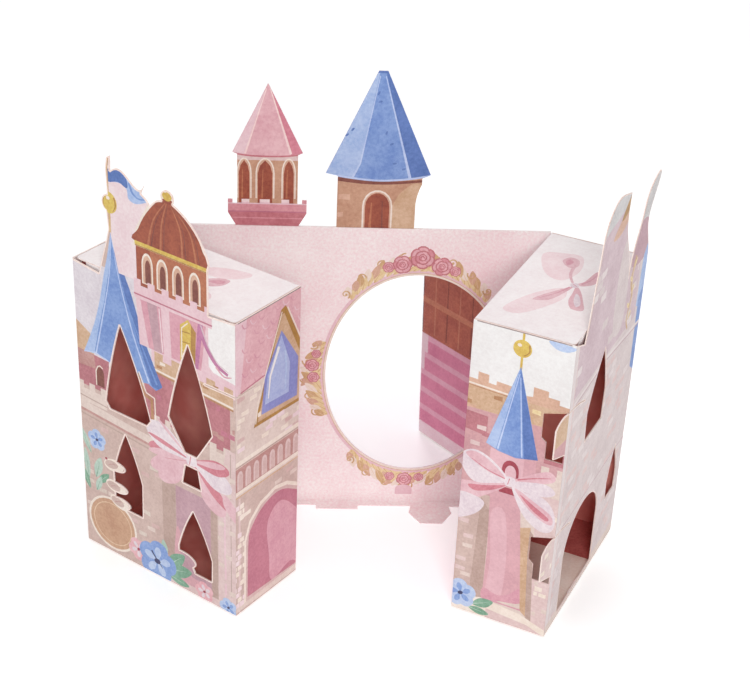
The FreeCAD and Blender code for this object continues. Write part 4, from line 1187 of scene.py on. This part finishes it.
rear = card["towerFront"] + card["thickness"]
printSheet("rear_print", "rear_board", "back_panel", millimetres, uprightAt(rear, -1.0, 1), rearShapes(),
    "pinkMist")
print("print laid")


# Studio: white sweep lit from below, a broad top light and a softbox at the front
def studio():
    floorMesh = bpy.data.meshes.new("studio_floor")
    size = 3.0
    corners = [(-size, -size, 0), (size, -size, 0), (size, size, 0), (-size, size, 0)]
    floorMesh.from_pydata(corners, [], [(0, 1, 2, 3)])
    floor = bpy.data.objects.new("studio_floor", floorMesh)
    bpy.context.collection.objects.link(floor)
    material, tree = newMaterial("floor_paper")
    shader = addNode(
        tree,
        "ShaderNodeBsdfPrincipled",
        {"Base Color": linear("#fbfbfb"), "Roughness": 0.9, "Emission Color": linear("#ffffff"),
            "Emission Strength": 0.3},
    )
    addNode(tree, "ShaderNodeOutputMaterial", None, {"Surface": shader.outputs["BSDF"]})
    floorMesh.materials.append(material)
    world = bpy.data.worlds.new("studio")
    world.use_nodes = True
    world.node_tree.nodes["Background"].inputs["Color"].default_value = linear("#ffffff")
    world.node_tree.nodes["Background"].inputs["Strength"].default_value = 0.3
    bpy.context.scene.world = world
    for name, place, energy, size in (
        ("top_light", (0.0, 0.3, 2.2), 33.0, 3.0),
        ("front_softbox", (0.12, -1.6, 1.0), 12.0, 0.5),
    ):
        light = bpy.data.lights.new(name, "AREA")
        light.energy = energy
        light.size = size
        lamp = bpy.data.objects.new(name, light)
        lamp.location = place
        lamp.rotation_euler = (Vector((0, 0, 0.1)) - Vector(place)).to_track_quat("-Z", "Y").to_euler()
        bpy.context.collection.objects.link(lamp)


def camera():
    # the photograph's viewpoint, fitted to the folds and corners of the card
    view = {"lens": 81.32, "place": (-0.0254, -0.8284, 0.5965),
        "yaw": -2.9899, "pitch": 30.5516, "roll": -2.6061}
    data = bpy.data.cameras.new("camera")
    data.sensor_width = 36.0
    data.lens = view["lens"]
    lens = bpy.data.objects.new("camera", data)
    yaw = Matrix.Rotation(math.radians(view["yaw"]), 3, "Z")
    pitch = Matrix.Rotation(math.radians(-view["pitch"]), 3, "X")
    roll = Matrix.Rotation(math.radians(view["roll"]), 3, "Y")
    turn = yaw @ pitch @ roll
    rightward, forward, upward = turn.col
    lens.matrix_world = Matrix((rightward, upward, -forward)).transposed().to_4x4()
    lens.location = view["place"]
    bpy.context.collection.objects.link(lens)
    bpy.context.scene.camera = lens


studio()
camera()
bpy.context.scene.view_settings.view_transform = "Standard"
print("studio set")
